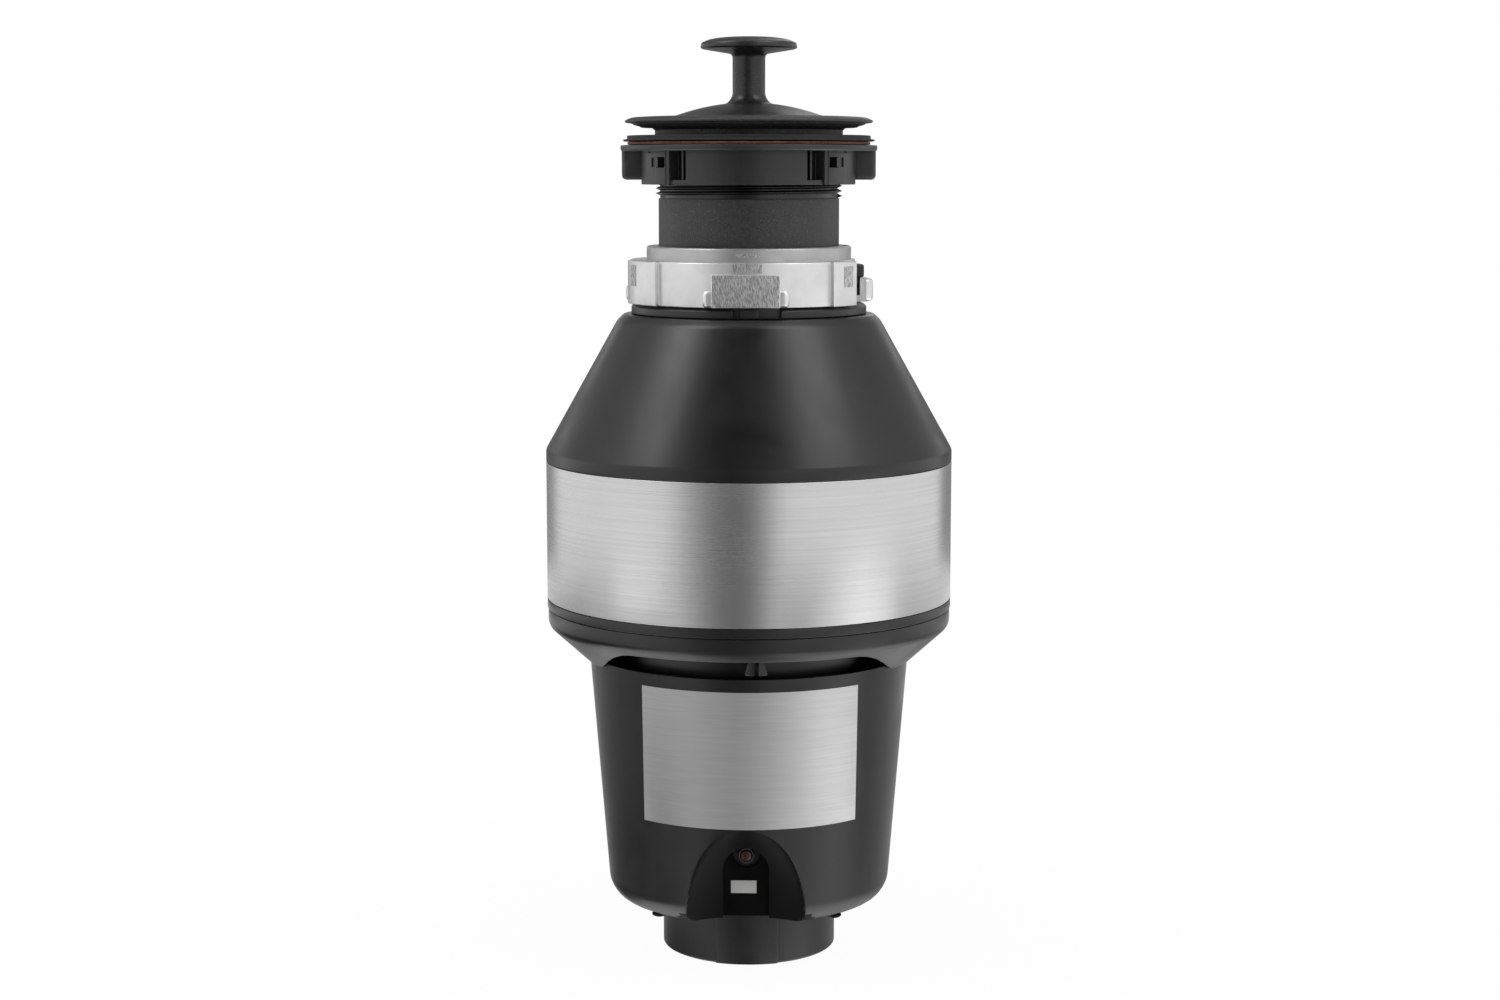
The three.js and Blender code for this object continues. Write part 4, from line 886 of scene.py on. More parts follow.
class Palette:
    """The finishes of the disposer."""

    cover = Moulding("cover plastic", "gloss_black", (0.0075, 0.0076, 0.008), 0.31, grain=2400.0,
                     depth=0.0022 * MM, flecks=0.01, dust=0.004, rubbing_and_highlight=0.1, ior=1.52)
    housing = Moulding("housing plastic", "gloss_black", (0.0075, 0.0076, 0.008), 0.33,
                       flecks=0.01, dust=0.004, rubbing_and_highlight=0.1, ior=1.52)
    # Painted shade: a darker, less reflective black for the deep faces of the housing's recess.
    recess = Moulding("recess painted shade", "gloss_black", (0.003, 0.003, 0.0032), 0.42,
                      flecks=0.01, rubbing_and_highlight=0.1, ior=1.18)
    satin = Moulding("satin plastic", "satin_black", (0.011, 0.0112, 0.0116), 0.38, grain=2000.0,
                     depth=0.004 * MM, flecks=0.03, dust=0.03, rubbing_and_highlight=0.35)
    nut = Moulding("nut plastic", "satin_black", (0.025, 0.0252, 0.026), 0.38, grain=2000.0,
                   depth=0.004 * MM, dust=0.02, rubbing_and_highlight=0.35)
    grained = Moulding("grained plastic", "grained_black", (0.027, 0.0272, 0.028), 0.5, grain=760.0,
                       depth=0.05 * MM, flecks=0.3, dust=0.02, patches=360.0, unevenness=1.0)
    grip = Moulding("grip plastic", "grained_black", (0.014, 0.0142, 0.0147), 0.34, grain=700.0,
                    depth=0.07 * MM, flecks=0.35, dust=0.01, rubbing_and_highlight=0.4, patches=420.0, unevenness=0.8)
    # Glossier, darker black: on the sleeve's thread partly painted shade below the nut; in the winged
    # nut's slots painted shade.
    thread = Moulding("thread plastic and painted shade", "grained_black", (0.005, 0.005, 0.0052), 0.28, flecks=0.01)
    rubber = Moulding("black rubber", "rubber", (0.016, 0.016, 0.0165), 0.66, grain=1100.0,
                      depth=0.012 * MM, flecks=0.04, dust=0.1, rubbing_and_highlight=0.2, ior=1.5)
    button = Moulding("red button plastic", "red_button", (0.06, 0.004, 0.007), 0.32, grain=2400.0,
                      rubbing_and_highlight=0.2)
    phenolic = Moulding("brush holder plastic", "phenolic", (0.045, 0.035, 0.026), 0.5, grain=900.0,
                        depth=0.01 * MM, flecks=0.1, dust=0.08)
    band = BrushedSheet("brushed band", "brushed_band", (0.615, 0.615, 0.62), 0.25,
                        depth=0.002 * MM, anisotropy=0.4)
    plate = BrushedSheet("brushed plate", "brushed_band", (0.64, 0.64, 0.64), 0.36, along=45.0,
                         across=4800.0, depth=0.0015 * MM, anisotropy=0.8)
    stainless = BrushedSheet("stamped stainless", "stainless", (0.5, 0.5, 0.51), 0.3, along=60.0,
                             across=2200.0, anisotropy=0.3)
    laminations = BrushedSheet("stacked laminations", "laminations", (0.33, 0.33, 0.35), 0.45,
                               along=5.0, across=2000.0, depth=0.05 * MM, anisotropy=0.2)
    cast = Casting("cast aluminium", "cast_aluminium", (0.78, 0.78, 0.785), 0.37, metal=0.8)
    ground = GroundCasting("ground aluminium", "cast_aluminium", (0.54, 0.54, 0.54), 0.6)
    turned = Casting("turned aluminium", "cast_aluminium", (0.5, 0.5, 0.505), 0.42, metal=0.85)
    blackened = Casting("blackened steel", "steel", (0.025, 0.025, 0.027), 0.42, skin=500.0,
                        depth=0.01 * MM, mottle=0.3)
    steel = Casting("machined steel", "steel", (0.5, 0.51, 0.53), 0.34, skin=500.0,
                    depth=0.01 * MM, mottle=0.3)
    fibre = Pressed("vulcanised fibre", "fibre", (0.4, 0.19, 0.14), 0.75, grit=900.0, contrast=0.6)
    foam = Pressed("expanded foam", "foam", (0.7, 0.7, 0.68), 0.9, grit=420.0,
                   depth=0.4 * MM, contrast=0.15)
    carbon = Pressed("carbon block", "carbon", (0.025, 0.025, 0.026), 0.6, grit=1600.0, contrast=0.4)
    ferrite = Pressed("sintered ferrite", "ferrite", (0.06, 0.06, 0.065), 0.62, grit=1300.0,
                      contrast=0.3, metal=0.2)
    board = Pressed("glass fibre board", "circuit_board", (0.03, 0.16, 0.07), 0.5, grit=1800.0,
                    contrast=0.35)
    label = Pressed("plain label film", "satin_black", (0.72, 0.72, 0.7), 0.5, grit=1500.0,
                    depth=0.004 * MM, contrast=0.06)
    copper = Windings("enamelled copper", "copper", (0.6, 0.29, 0.15), 0.36)


# ---- pieces


@dataclass
class Piece:
    """A finished body, ready to be fitted to the frame.

    Attributes:
        name: Its object's name.
        body: Its mesh.
        finish: Its finish.
        stands_for: The nodes that it replaces.
        carrier: The frame's body that it rides on.
        others: Further finishes, for faces with a material index of one or more.
    """

    name: str
    body: Mesh
    finish: Finish
    stands_for: tuple[str, ...] = ()
    carrier: Carrier = Carrier.UNIT
    others: tuple[Finish, ...] = ()

    def fit(self) -> bpy.types.Object:
        """Makes the object, dresses it and hands it to the frame.

        Returns:
            The object.
        """
        materials = [finish.material() for finish in (self.finish, *self.others)]
        mesh = mesh_of(self.body, self.name, *materials)
        mesh.shade_smooth()
        mesh.set_sharp_from_angle(angle=math.radians(SHARP))
        thing = placed(self.name, mesh)
        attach(thing, self.carrier.value)
        if self.stands_for:
            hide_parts(*self.stands_for)
        LOG.info("%s: %d faces, %s", self.name, len(mesh.polygons), self.finish.name)
        return thing


class SubAssembly(ABC):
    """A group of pieces that belong together."""

    @abstractmethod
    def pieces(self) -> Iterator[Piece]:
        """Builds the pieces one after another."""


@dataclass
class Stopper(SubAssembly):
    """The stopper: grip, stem, domed disc and guide blades, with its seal.

    Attributes:
        height: From the seat to the top of the grip.
        disc_radius: Radius of the domed disc.
        edge: Thickness of the disc's edge.
        dome_rise: Rise of the dome above the edge.
        dome_power: How flat the dome is in the middle.
        stem_radius: Radius of the stem.
        root: Radius at which the dome turns up into the stem.
        knob_radius: Radius of the grip.
        blade_radius: Reach of the guide blades.
        blade_depth: Depth of the guide blades below the seat.
        blade: Half the thickness of a blade.
        disc_lift: Underside of the disc above the seat.
        boss_depth: Depth of the boss below the seat.
        rim_drop: Edge of the grip below its top.
        steps: Faces round the stopper, and along the dome.
    """

    height: float = 41.5 * MM
    disc_radius: float = 43.0 * MM
    edge: float = 1.4 * MM
    dome_rise: float = 9.8 * MM
    dome_power: float = 2.0
    stem_radius: float = 7.5 * MM
    root: float = 10.2 * MM
    knob_radius: float = 22.2 * MM
    blade_radius: float = 34.8 * MM
    blade_depth: float = 13.0 * MM
    blade: float = 1.2 * MM
    disc_lift: float = 0.6 * MM
    boss_depth: float = 2.2 * MM
    rim_drop: float = 5.6 * MM
    steps: tuple[int, int] = (144, 12)

    def __post_init__(self) -> None:
        """Takes the seat from the frame."""
        self.top = Extent.of("stopper").top
        self.seat = self.top - self.height

    def dome(self) -> list[Corner]:
        """The dome's profile from its edge to the root of the stem."""
        count = self.steps[1]
        start = self.seat + self.disc_lift + self.edge
        reach, rise = self.disc_radius, self.dome_rise
        radii = [reach + (self.root - reach) * i / count for i in range(count + 1)]
        return [(radius, start + rise * (1 - (radius / reach) ** self.dome_power)) for radius in radii]

    def moulding(self) -> Mesh:
        """The grip, stem and disc, with two crossed blades below.

        Returns:
            The body.
        """
        top, knob = self.top, self.knob_radius
        disc, boss_foot = self.seat + self.disc_lift, self.seat - self.boss_depth
        boss = self.disc_radius - 8 * MM
        rim, crown = top - self.rim_drop, top - self.rim_drop / 2
        dome = self.dome()
        root_height = dome[-1][1]
        profile: list[Corner] = [
            (0.0, boss_foot), (boss, boss_foot, 0.5 * MM), (boss, disc),
            (self.disc_radius, disc, 0.5 * MM), (*dome[0], 0.6 * MM), *dome[1:-1],
            (self.root, root_height, 1.0 * MM), (self.stem_radius, root_height + 3.0 * MM, 2.0 * MM),
            (self.stem_radius, rim - 2.3 * MM, 1.6 * MM), (knob - 1 * MM, rim, 0.4 * MM),
            (knob, rim + 0.6 * MM, 0.4 * MM), (knob - 0.3 * MM, crown, 0.8 * MM),
            (0.82 * knob, top - 1.25 * MM, 1.5 * MM), (0.6 * knob, top - 0.45 * MM, 2.0 * MM),
            (0.3 * knob, top - 0.05 * MM, 2.0 * MM), (0.0, top),
        ]
        low = (-self.blade, -self.blade_radius, self.seat - self.blade_depth)
        blade = block(low, (self.blade, self.blade_radius, self.seat - 2 * MM), 0.5 * MM)
        return joined(turn(profile, self.steps[0]), blade, swung(blade, 90.0))

    def seal(self) -> Mesh:
        """The lip seal under the disc."""
        extent = Extent.of("stopper_seal")
        inner, reach, foot = self.disc_radius - 7.7 * MM, extent.radius, extent.bottom
        return turn([
            (inner, foot, 0.3 * MM), (reach - 2 * MM, foot, 0.4 * MM), (reach, foot + 0.6 * MM, 0.3 * MM),
            (reach, foot + 1.1 * MM, 0.2 * MM), (reach - 1.6 * MM, extent.top), (inner, extent.top),
        ], self.steps[0])

    def pieces(self) -> Iterator[Piece]:
        """The moulding and its seal."""
        yield Piece("stopper_moulding", self.moulding(), Palette.grip, ("stopper",), Carrier.PLUG)
        yield Piece("stopper_lip_seal", self.seal(), Palette.rubber, ("stopper_seal",), Carrier.PLUG)


@dataclass
class SinkSleeve(SubAssembly):
    """The sink flange with its threaded sleeve, and the two gaskets below the flange.

    Attributes:
        radius: Outside of the plain sleeve.
        bore: Inside of the sleeve.
        thread_radius: Crest of the thread.
        pitch: One turn of the thread.
        plain_length: Plain sleeve below the thread.
        thread_length: Length of the thread.
        neck_radius: Smooth neck above the thread.
        neck_length: Length of the neck.
        rim_rise: Rim of the flange above the neck.
        seat_radius: Where the stopper sits.
        ear_reach: Reach of the bayonet ears.
        ear_span: Half the angle of an ear.
        ear_height: Height of an ear.
        relief: Depth of the thread's root inside the plain sleeve.
        ear_rise: Top of the ears above the foot of the quick-lock ring.
        thread_steps: Faces round one turn of the thread.
    """

    radius: float = 41.6 * MM
    bore: float = 38.8 * MM
    thread_radius: float = 42.9 * MM
    pitch: float = 2.3 * MM
    plain_length: float = 39.6 * MM
    thread_length: float = 28.6 * MM
    neck_radius: float = 43.2 * MM
    neck_length: float = 3.6 * MM
    rim_rise: float = 2.7 * MM
    seat_radius: float = 43.0 * MM
    ear_reach: float = 3.7 * MM
    ear_span: float = 13.0
    ear_height: float = 4.0 * MM
    relief: float = 0.7 * MM
    ear_rise: float = 16.5 * MM
    thread_steps: int = 96

    def __post_init__(self) -> None:
        """Takes the flange and sleeve ends from the frame."""
        self.extent = Extent.of("sink_flange")
        self.thread_foot = self.extent.bottom + self.plain_length
        self.thread_head = self.thread_foot + self.thread_length
        self.underside = self.thread_head + self.neck_length
        self.rim = self.underside + self.rim_rise
        self.thread_root = self.radius - self.relief

    def thread(self) -> Mesh:
        """The ridge of the thread, swept up the sleeve."""
        turns = int((self.thread_length - self.pitch) / self.pitch)
        root, crest = self.thread_root - 0.2 * MM, self.thread_radius
        half_root, half_crest = 0.46 * self.pitch, 0.04 * self.pitch
        middle = self.thread_foot + self.pitch / 2
        bm = bmesh.new()
        outline = ((root, -half_root), (crest, -half_crest), (crest, half_crest), (root, half_root))
        bm.faces.new([bm.verts.new((r, 0.0, middle + dz)) for r, dz in outline])
        bmesh.ops.spin(
            bm, geom=bm.verts[:] + bm.edges[:] + bm.faces[:], cent=(0, 0, 0), axis=(0, 0, 1),
            dvec=(0, 0, self.pitch / self.thread_steps), angle=math.tau * turns,
            steps=self.thread_steps * turns,
        )
        return tidy(bm)

    def moulding(self) -> Mesh:
        """The flange, neck and sleeve, with three bayonet ears at the foot.

        Returns:
            The body.
        """
        top, rim, reach, foot = self.extent.top, self.rim, self.extent.radius, self.extent.bottom
        neck, under, seat = self.neck_radius, self.underside, self.seat_radius
        profile: list[Corner] = [
            (self.bore, foot, 0.4 * MM), (self.radius, foot, 0.5 * MM),
            (self.radius, self.thread_foot, 0.2 * MM), (self.thread_root, self.thread_foot + 0.2 * MM),
            (self.thread_root, self.thread_head), (neck, self.thread_head, 0.3 * MM),
            (neck, under, 1.6 * MM), (neck + 6.5 * MM, under, 0.5 * MM),
            (neck + 7 * MM, under + 0.5 * MM, 0.3 * MM), (neck + 10 * MM, under + 1.3 * MM, 0.4 * MM),
            (neck + 10.4 * MM, under + 1.8 * MM, 0.3 * MM), (reach - 0.5 * MM, rim - 0.5 * MM, 0.25 * MM),
            (reach, rim, 0.2 * MM), (reach - 0.1 * MM, rim + 0.5 * MM, 0.3 * MM),
            (reach - 2.6 * MM, top - 0.35 * MM, 1.6 * MM), (seat + 5 * MM, top, 1.2 * MM),
            (seat + 1.5 * MM, rim - 3 * MM, 1 * MM), (seat - 3 * MM, rim - 6 * MM, 1.5 * MM),
            (self.bore, rim - 9 * MM, 1 * MM),
        ]
        ear_top = Extent.of("lock_ring").bottom + self.ear_rise
        ear = sector(
            self.bore + 1 * MM, self.radius + self.ear_reach, -self.ear_span, self.ear_span,
            ear_top - self.ear_height, ear_top,
        )
        return joined(turn(profile), *around(ear, 3))

    def gloss(self, sleeve: Mesh) -> None:
        """Gives the threaded stretch its second finish: glossier, and darker partly as painted shade below
        the nut.

        Args:
            sleeve: The sleeve with its thread.
        """
        for face in sleeve.faces:
            middle = face.calc_center_median()
            if self.thread_foot < middle.z < self.thread_head and middle.xy.length > self.bore + 1 * MM:
                face.material_index = 1

    def pieces(self) -> Iterator[Piece]:
        """The moulding, its thread and the gaskets."""
        sleeve = self.moulding()
        scrap = mesh_of(self.thread(), "thread")
        sleeve.from_mesh(scrap)
        bpy.data.meshes.remove(scrap)
        self.gloss(sleeve)
        yield Piece("sink_sleeve", sleeve, Palette.grained, ("sink_flange",), others=(Palette.thread,))
        yield Piece("flange_gasket", self.gasket(), Palette.rubber, ("rubber_gasket",), Carrier.GASKETS)
        yield Piece("fibre_washer", self.washer(), Palette.fibre, ("fibre_gasket",), Carrier.GASKETS)

    def gasket(self) -> Mesh:
        """The rubber gasket, with a thin lip at its foot."""
        extent = Extent.of("rubber_gasket")
        inner, reach = self.neck_radius + 0.5 * MM, extent.radius
        body, foot, lip = reach - 1.8 * MM, extent.bottom, extent.bottom + 0.9 * MM
        return turn([
            (inner, foot), (reach - 0.5 * MM, foot, 0.3 * MM), (reach, foot + 0.4 * MM, 0.15 * MM),
            (reach, lip, 0.2 * MM), (body, lip + 0.2 * MM, 0.3 * MM), (body, extent.top, 0.5 * MM),
            (inner, extent.top),
        ])

    def washer(self) -> Mesh:
        """The fibre washer under the gasket."""
        extent = Extent.of("fibre_gasket")
        inner, reach = self.neck_radius - 0.2 * MM, extent.radius
        return turn([
            (inner, extent.bottom), (reach, extent.bottom, 0.15 * MM), (reach, extent.top, 0.15 * MM),
            (inner, extent.top),
        ])


@dataclass
class WingedNut(SubAssembly):
    """The winged nut that draws the flange down: round walls, ribbed lobes with windows, grips.

    Attributes:
        wall_radius: Radius of the smooth front and back walls.
        lobe_radius: Radius of the lobes beside the grips.
        web_depth: How deep the slots between walls and lobes are.
        flange: Thickness of the upper flange.
        wing_reach: Reach of the grips.
        wing_thickness: Thickness of a grip.
        wing_height: Height of a grip below the flange.
        bore: Radius of the bore.
        window_rise: Foot of the windows above the nut's underside.
        window_height: Height of the windows.
        window_span: Where a window starts and ends, in degrees from the front.
        step_span: Where the shallow step beside it does.
        slit_span: Where the slit above it does.
        foot_rise: Height of the round foot.
    """

    wall_radius: float = 48.5 * MM
    lobe_radius: float = 50.0 * MM
    web_depth: float = 4.6 * MM
    flange: float = 2.7 * MM
    wing_reach: float = 58.3 * MM
    wing_thickness: float = 12.0 * MM
    wing_height: float = 13.0 * MM
    bore: float = 43.0 * MM
    window_rise: float = 7.6 * MM
    window_height: float = 4.8 * MM
    window_span: Span = (47.6, 54.7)
    step_span: Span = (54.4, 60.0)
    slit_span: Span = (49.0, 64.0)
    foot_rise: float = 2.2 * MM

    def __post_init__(self) -> None:
        """Takes the nut's place from the frame."""
        self.extent = Extent.of("lock_nut")
        self.flange_foot = self.extent.top - self.flange

    def wall(self) -> Mesh:
        """The upright wall: smooth front, slots with a thin rib, and lobes, four times mirrored."""
        web = self.wall_radius - self.web_depth
        quarter = [
            (0.0, 34.0, self.wall_radius), (34.0, 37.4, web), (37.4, 38.9, self.wall_radius - 2.0 * MM),
            (38.9, 44.6, web), (44.6, 47.0, self.lobe_radius - 0.4 * MM), (47.0, 78.0, self.lobe_radius),
            (78.0, 90.0, web + 1 * MM),
        ]
        half = quarter + [(180 - end, 180 - start, radius) for start, end, radius in reversed(quarter)]
        whole = half + [(start + 180, end + 180, radius) for start, end, radius in half]
        points = [point for start, end, radius in whole for point in arc(radius, start, end)]
        body = raised(points, self.extent.bottom, self.flange_foot + 0.5 * MM)
        return soften(body, 0.35 * MM, sharper_than=28.0)

    def windows(self) -> Iterator[Mesh]:
        """The square windows in the lobes, each beside a shallow step and below a slit."""
        foot = self.extent.bottom + self.window_rise
        head = foot + self.window_height
        slit = self.flange_foot - 0.9 * MM
        cutters = (
            (self.bore + 1.6 * MM, self.window_span, foot, head),
            (self.lobe_radius - 0.6 * MM, self.step_span, foot + 0.3 * MM, head - 0.3 * MM),
            (self.lobe_radius - 0.8 * MM, self.slit_span, slit, slit + 0.6 * MM),
        )
        for half_turn in (0.0, 180.0):
            for side in (-1.0, 1.0):
                for inner, span, low, high in cutters:
                    ends = sorted(side * angle for angle in span)
                    yield swung(sector(inner, 60 * MM, *ends, low, high), half_turn)

    def moulding(self) -> Mesh:
        """The whole nut.

        Returns:
            The body, its slot faces with a material index of one, which carries painted shade.
        """
        reach, top, flange_foot = self.extent.radius, self.extent.top, self.flange_foot
        bottom, foot_top = self.extent.bottom, self.extent.bottom + self.foot_rise
        flange = turn([
            (0.0, flange_foot), (reach - 0.6 * MM, flange_foot, 0.3 * MM),
            (reach, flange_foot + 0.7 * MM, 0.3 * MM), (reach, top, 0.5 * MM), (0.0, top),
        ])
        foot = turn([
            (0.0, bottom), (self.wall_radius, bottom, 0.5 * MM), (self.wall_radius, foot_top, 0.3 * MM),
            (0.0, foot_top),
        ])
        half = self.wing_thickness / 2
        low = (-self.wing_reach, -half, flange_foot - self.wing_height)
        wings = block(low, (self.wing_reach, half, flange_foot + 2 * MM), 2.0 * MM)
        bore = rod(self.bore, bottom - 1 * MM, top + 1 * MM)
        body = cut(joined(self.wall(), foot, flange, wings), bore, *self.windows())
        # Painted shade: the faces deep in the slots take the dark thread finish.
        for face in body.faces:
            middle = face.calc_center_median()
            inside = self.bore < middle.xy.length < self.wall_radius - 2.5 * MM
            if inside and foot_top + 0.1 * MM < middle.z < flange_foot + 0.1 * MM:
                face.material_index = 1
        return body

    def pieces(self) -> Iterator[Piece]:
        """The nut."""
        # The second finish paints shade into the nut's slots.
        body, thread = self.moulding(), (Palette.thread,)
        yield Piece("winged_nut_moulding", body, Palette.nut, ("lock_nut",), Carrier.NUT, thread)


@dataclass
class QuickLock(SubAssembly):
    """The cast quick-lock ring: stepped wall, upper collar and three lugs with ground faces.

    Attributes:
        wall_radius: Radius of the plain wall.
        bulge_radius: Radius of the entry channels.
        thickness: Thickness of the wall.
        wall_height: Height of the stepped wall.
        collar_radius: Outside of the upper collar.
        bore: Inside of the upper collar.
        lip: Height of the lower lip, and thickness of the roof.
        lip_radius: Inside of the lower lip.
        pad_half_width: Half the width of a lug's face.
        pad_plane: Distance of that face from the axis.
        pad_height: Height of a lug.
        feet: Half the width and the height of the front, right and left lug's foot.
        steps: Where the plain wall starts, and where a channel starts and ends, from a lug's middle.
        gap: Where the wall's one gap starts and ends.
        gap_step: Up to which angle the gap goes down to the foot.
        gap_radius: How far the gap reaches in.
        scar_span: Where the scars above a lug start and end.
        channel_scar: Where the scar on a channel starts and ends.
        entry_radius: How far the bayonet ears' entries reach out.
        keyway: Where a keyway in the collar starts and ends.
        keyway_radius: How far the keyways reach out.
        outside: Past the ring's largest radius.
    """

    wall_radius: float = 54.7 * MM
    bulge_radius: float = 56.8 * MM
    thickness: float = 3.0 * MM
    wall_height: float = 20.0 * MM
    collar_radius: float = 47.2 * MM
    bore: float = 42.1 * MM
    lip: float = 3.0 * MM
    lip_radius: float = 47.8 * MM
    pad_half_width: float = 15.4 * MM
    pad_plane: float = 55.3 * MM
    pad_height: float = 15.0 * MM
    feet: tuple[Span, ...] = (
        (19.4 * MM, 7.8 * MM), (22.5 * MM, 11.0 * MM), (22.5 * MM, 7.8 * MM),
    )
    steps: Triple = (-46.0, 43.5, 74.0)
    gap: Span = (60.5, 137.0)
    gap_step: float = 95.0
    gap_radius: float = 49.0 * MM
    scar_span: Span = (-6.0, 7.5)
    channel_scar: Span = (50.5, 57.0)
    entry_radius: float = 51.1 * MM
    keyway: Span = (-45.0, -15.0)
    keyway_radius: float = 45.8 * MM
    outside: float = 62.0 * MM

    def __post_init__(self) -> None:
        """Takes the ring's place from the frame."""
        self.extent = Extent.of("lock_ring")
        self.wall_top = self.extent.bottom + self.wall_height
        self.roof = self.wall_top - self.lip

    def outline(self, inset: float) -> list[Vector]:
        """The stepped outline, moved inwards by an inset; it repeats every third of a turn."""
        start, bulge, end = self.steps
        spans = ((start, bulge, self.wall_radius), (bulge, end, self.bulge_radius))
        return [
            point for third in (0.0, 120.0, 240.0) for low, high, radius in spans
            for point in arc(radius - inset, third + low, third + high)
        ]

    def lug(self, half_width: float, height: float) -> list[Mesh]:
        """A lug at the front: its foot and its pad, whose face is ground.

        Args:
            half_width: Half the width of the foot.
            height: Its height.

        Returns:
            The foot and the pad.
        """
        bottom, face_at = self.extent.bottom, -self.pad_plane
        root = -self.wall_radius + self.thickness + 4 * MM
        pad_top = (self.pad_half_width, root, bottom + self.pad_height)
        pad = block((-self.pad_half_width, face_at, bottom), pad_top, 0.7 * MM)
        for face in pad.faces:
            if face.normal.y < -0.9:
                face.material_index = 1
        foot_top = (half_width, root + 2 * MM, bottom + height)
        return [block((-half_width, face_at + 0.8 * MM, bottom), foot_top, 2.2 * MM), pad]

    def scars(self) -> Iterator[Mesh]:
        """The ground scars on the wall, on the collar and on the channels."""
        pad_top, top = self.extent.bottom + self.pad_height, self.wall_top
        places = (
            (self.wall_radius, self.scar_span, pad_top + 0.5 * MM, pad_top + 4.6 * MM),
            (self.collar_radius, self.scar_span, top + 2.2 * MM, top + 3.8 * MM),
            (self.bulge_radius, self.channel_scar, top - 11.5 * MM, top - 2 * MM),
        )
        for radius, span, low, high in places:
            scar = sector(radius - 0.6 * MM, radius + 0.18 * MM, *span, low, high)
            for face in scar.faces:
                face.material_index = 1
            yield scar

    def casting(self) -> Mesh:
        """The whole ring.

        Returns:
            The body, its ground faces with a material index of one and its collar's with two.
        """
        bottom, top, wall_top, roof = self.extent.bottom, self.extent.top, self.wall_top, self.roof
        shell = soften(raised(self.outline(0.0), bottom, wall_top), 0.55 * MM, sharper_than=25.0)
        collar = turn([
            (self.bore, roof), (self.collar_radius, roof), (self.collar_radius, wall_top),
            (self.collar_radius, top, 1.1 * MM), (self.bore, top, 0.8 * MM),
        ])
        for face in collar.faces:
            face.material_index = 2
        lugs = [
            swung(part, 120.0 * third) for third, foot in enumerate(self.feet) for part in self.lug(*foot)
        ]
        scars = [swung(scar, angle) for scar in self.scars() for angle in (0.0, 120.0, 240.0)]
        body = joined(shell, collar, *lugs, *scars)
        below, above, lip_top = bottom - 1 * MM, top + 1 * MM, bottom + self.lip
        cavity = raised(self.outline(self.thickness), lip_top, roof)
        bores = rod(self.lip_radius, below, roof - 5 * MM), rod(self.bore, below, above)
        reach_in, gap_foot = self.gap_radius, bottom + self.feet[1][1]
        gap = sector(reach_in, self.outside, *self.gap, gap_foot, wall_top + 1 * MM)
        step = sector(reach_in, self.outside, self.gap[0], self.gap_step, below, wall_top - 2 * MM)
        entry_span = self.steps[1:3]
        entry = sector(self.lip_radius - 1 * MM, self.entry_radius, *entry_span, below, lip_top + 1 * MM)
        keyway = sector(self.bore - 1 * MM, self.keyway_radius, *self.keyway, roof - 1 * MM, above)
        return cut(body, cavity, *bores, gap, step, *around(entry, 3), *around(keyway, 3))

    def pieces(self) -> Iterator[Piece]:
        """The ring."""
        body, others = self.casting(), (Palette.ground, Palette.turned)
        yield Piece("quick_lock_casting", body, Palette.cast, ("lock_ring",), Carrier.LOCK, others)


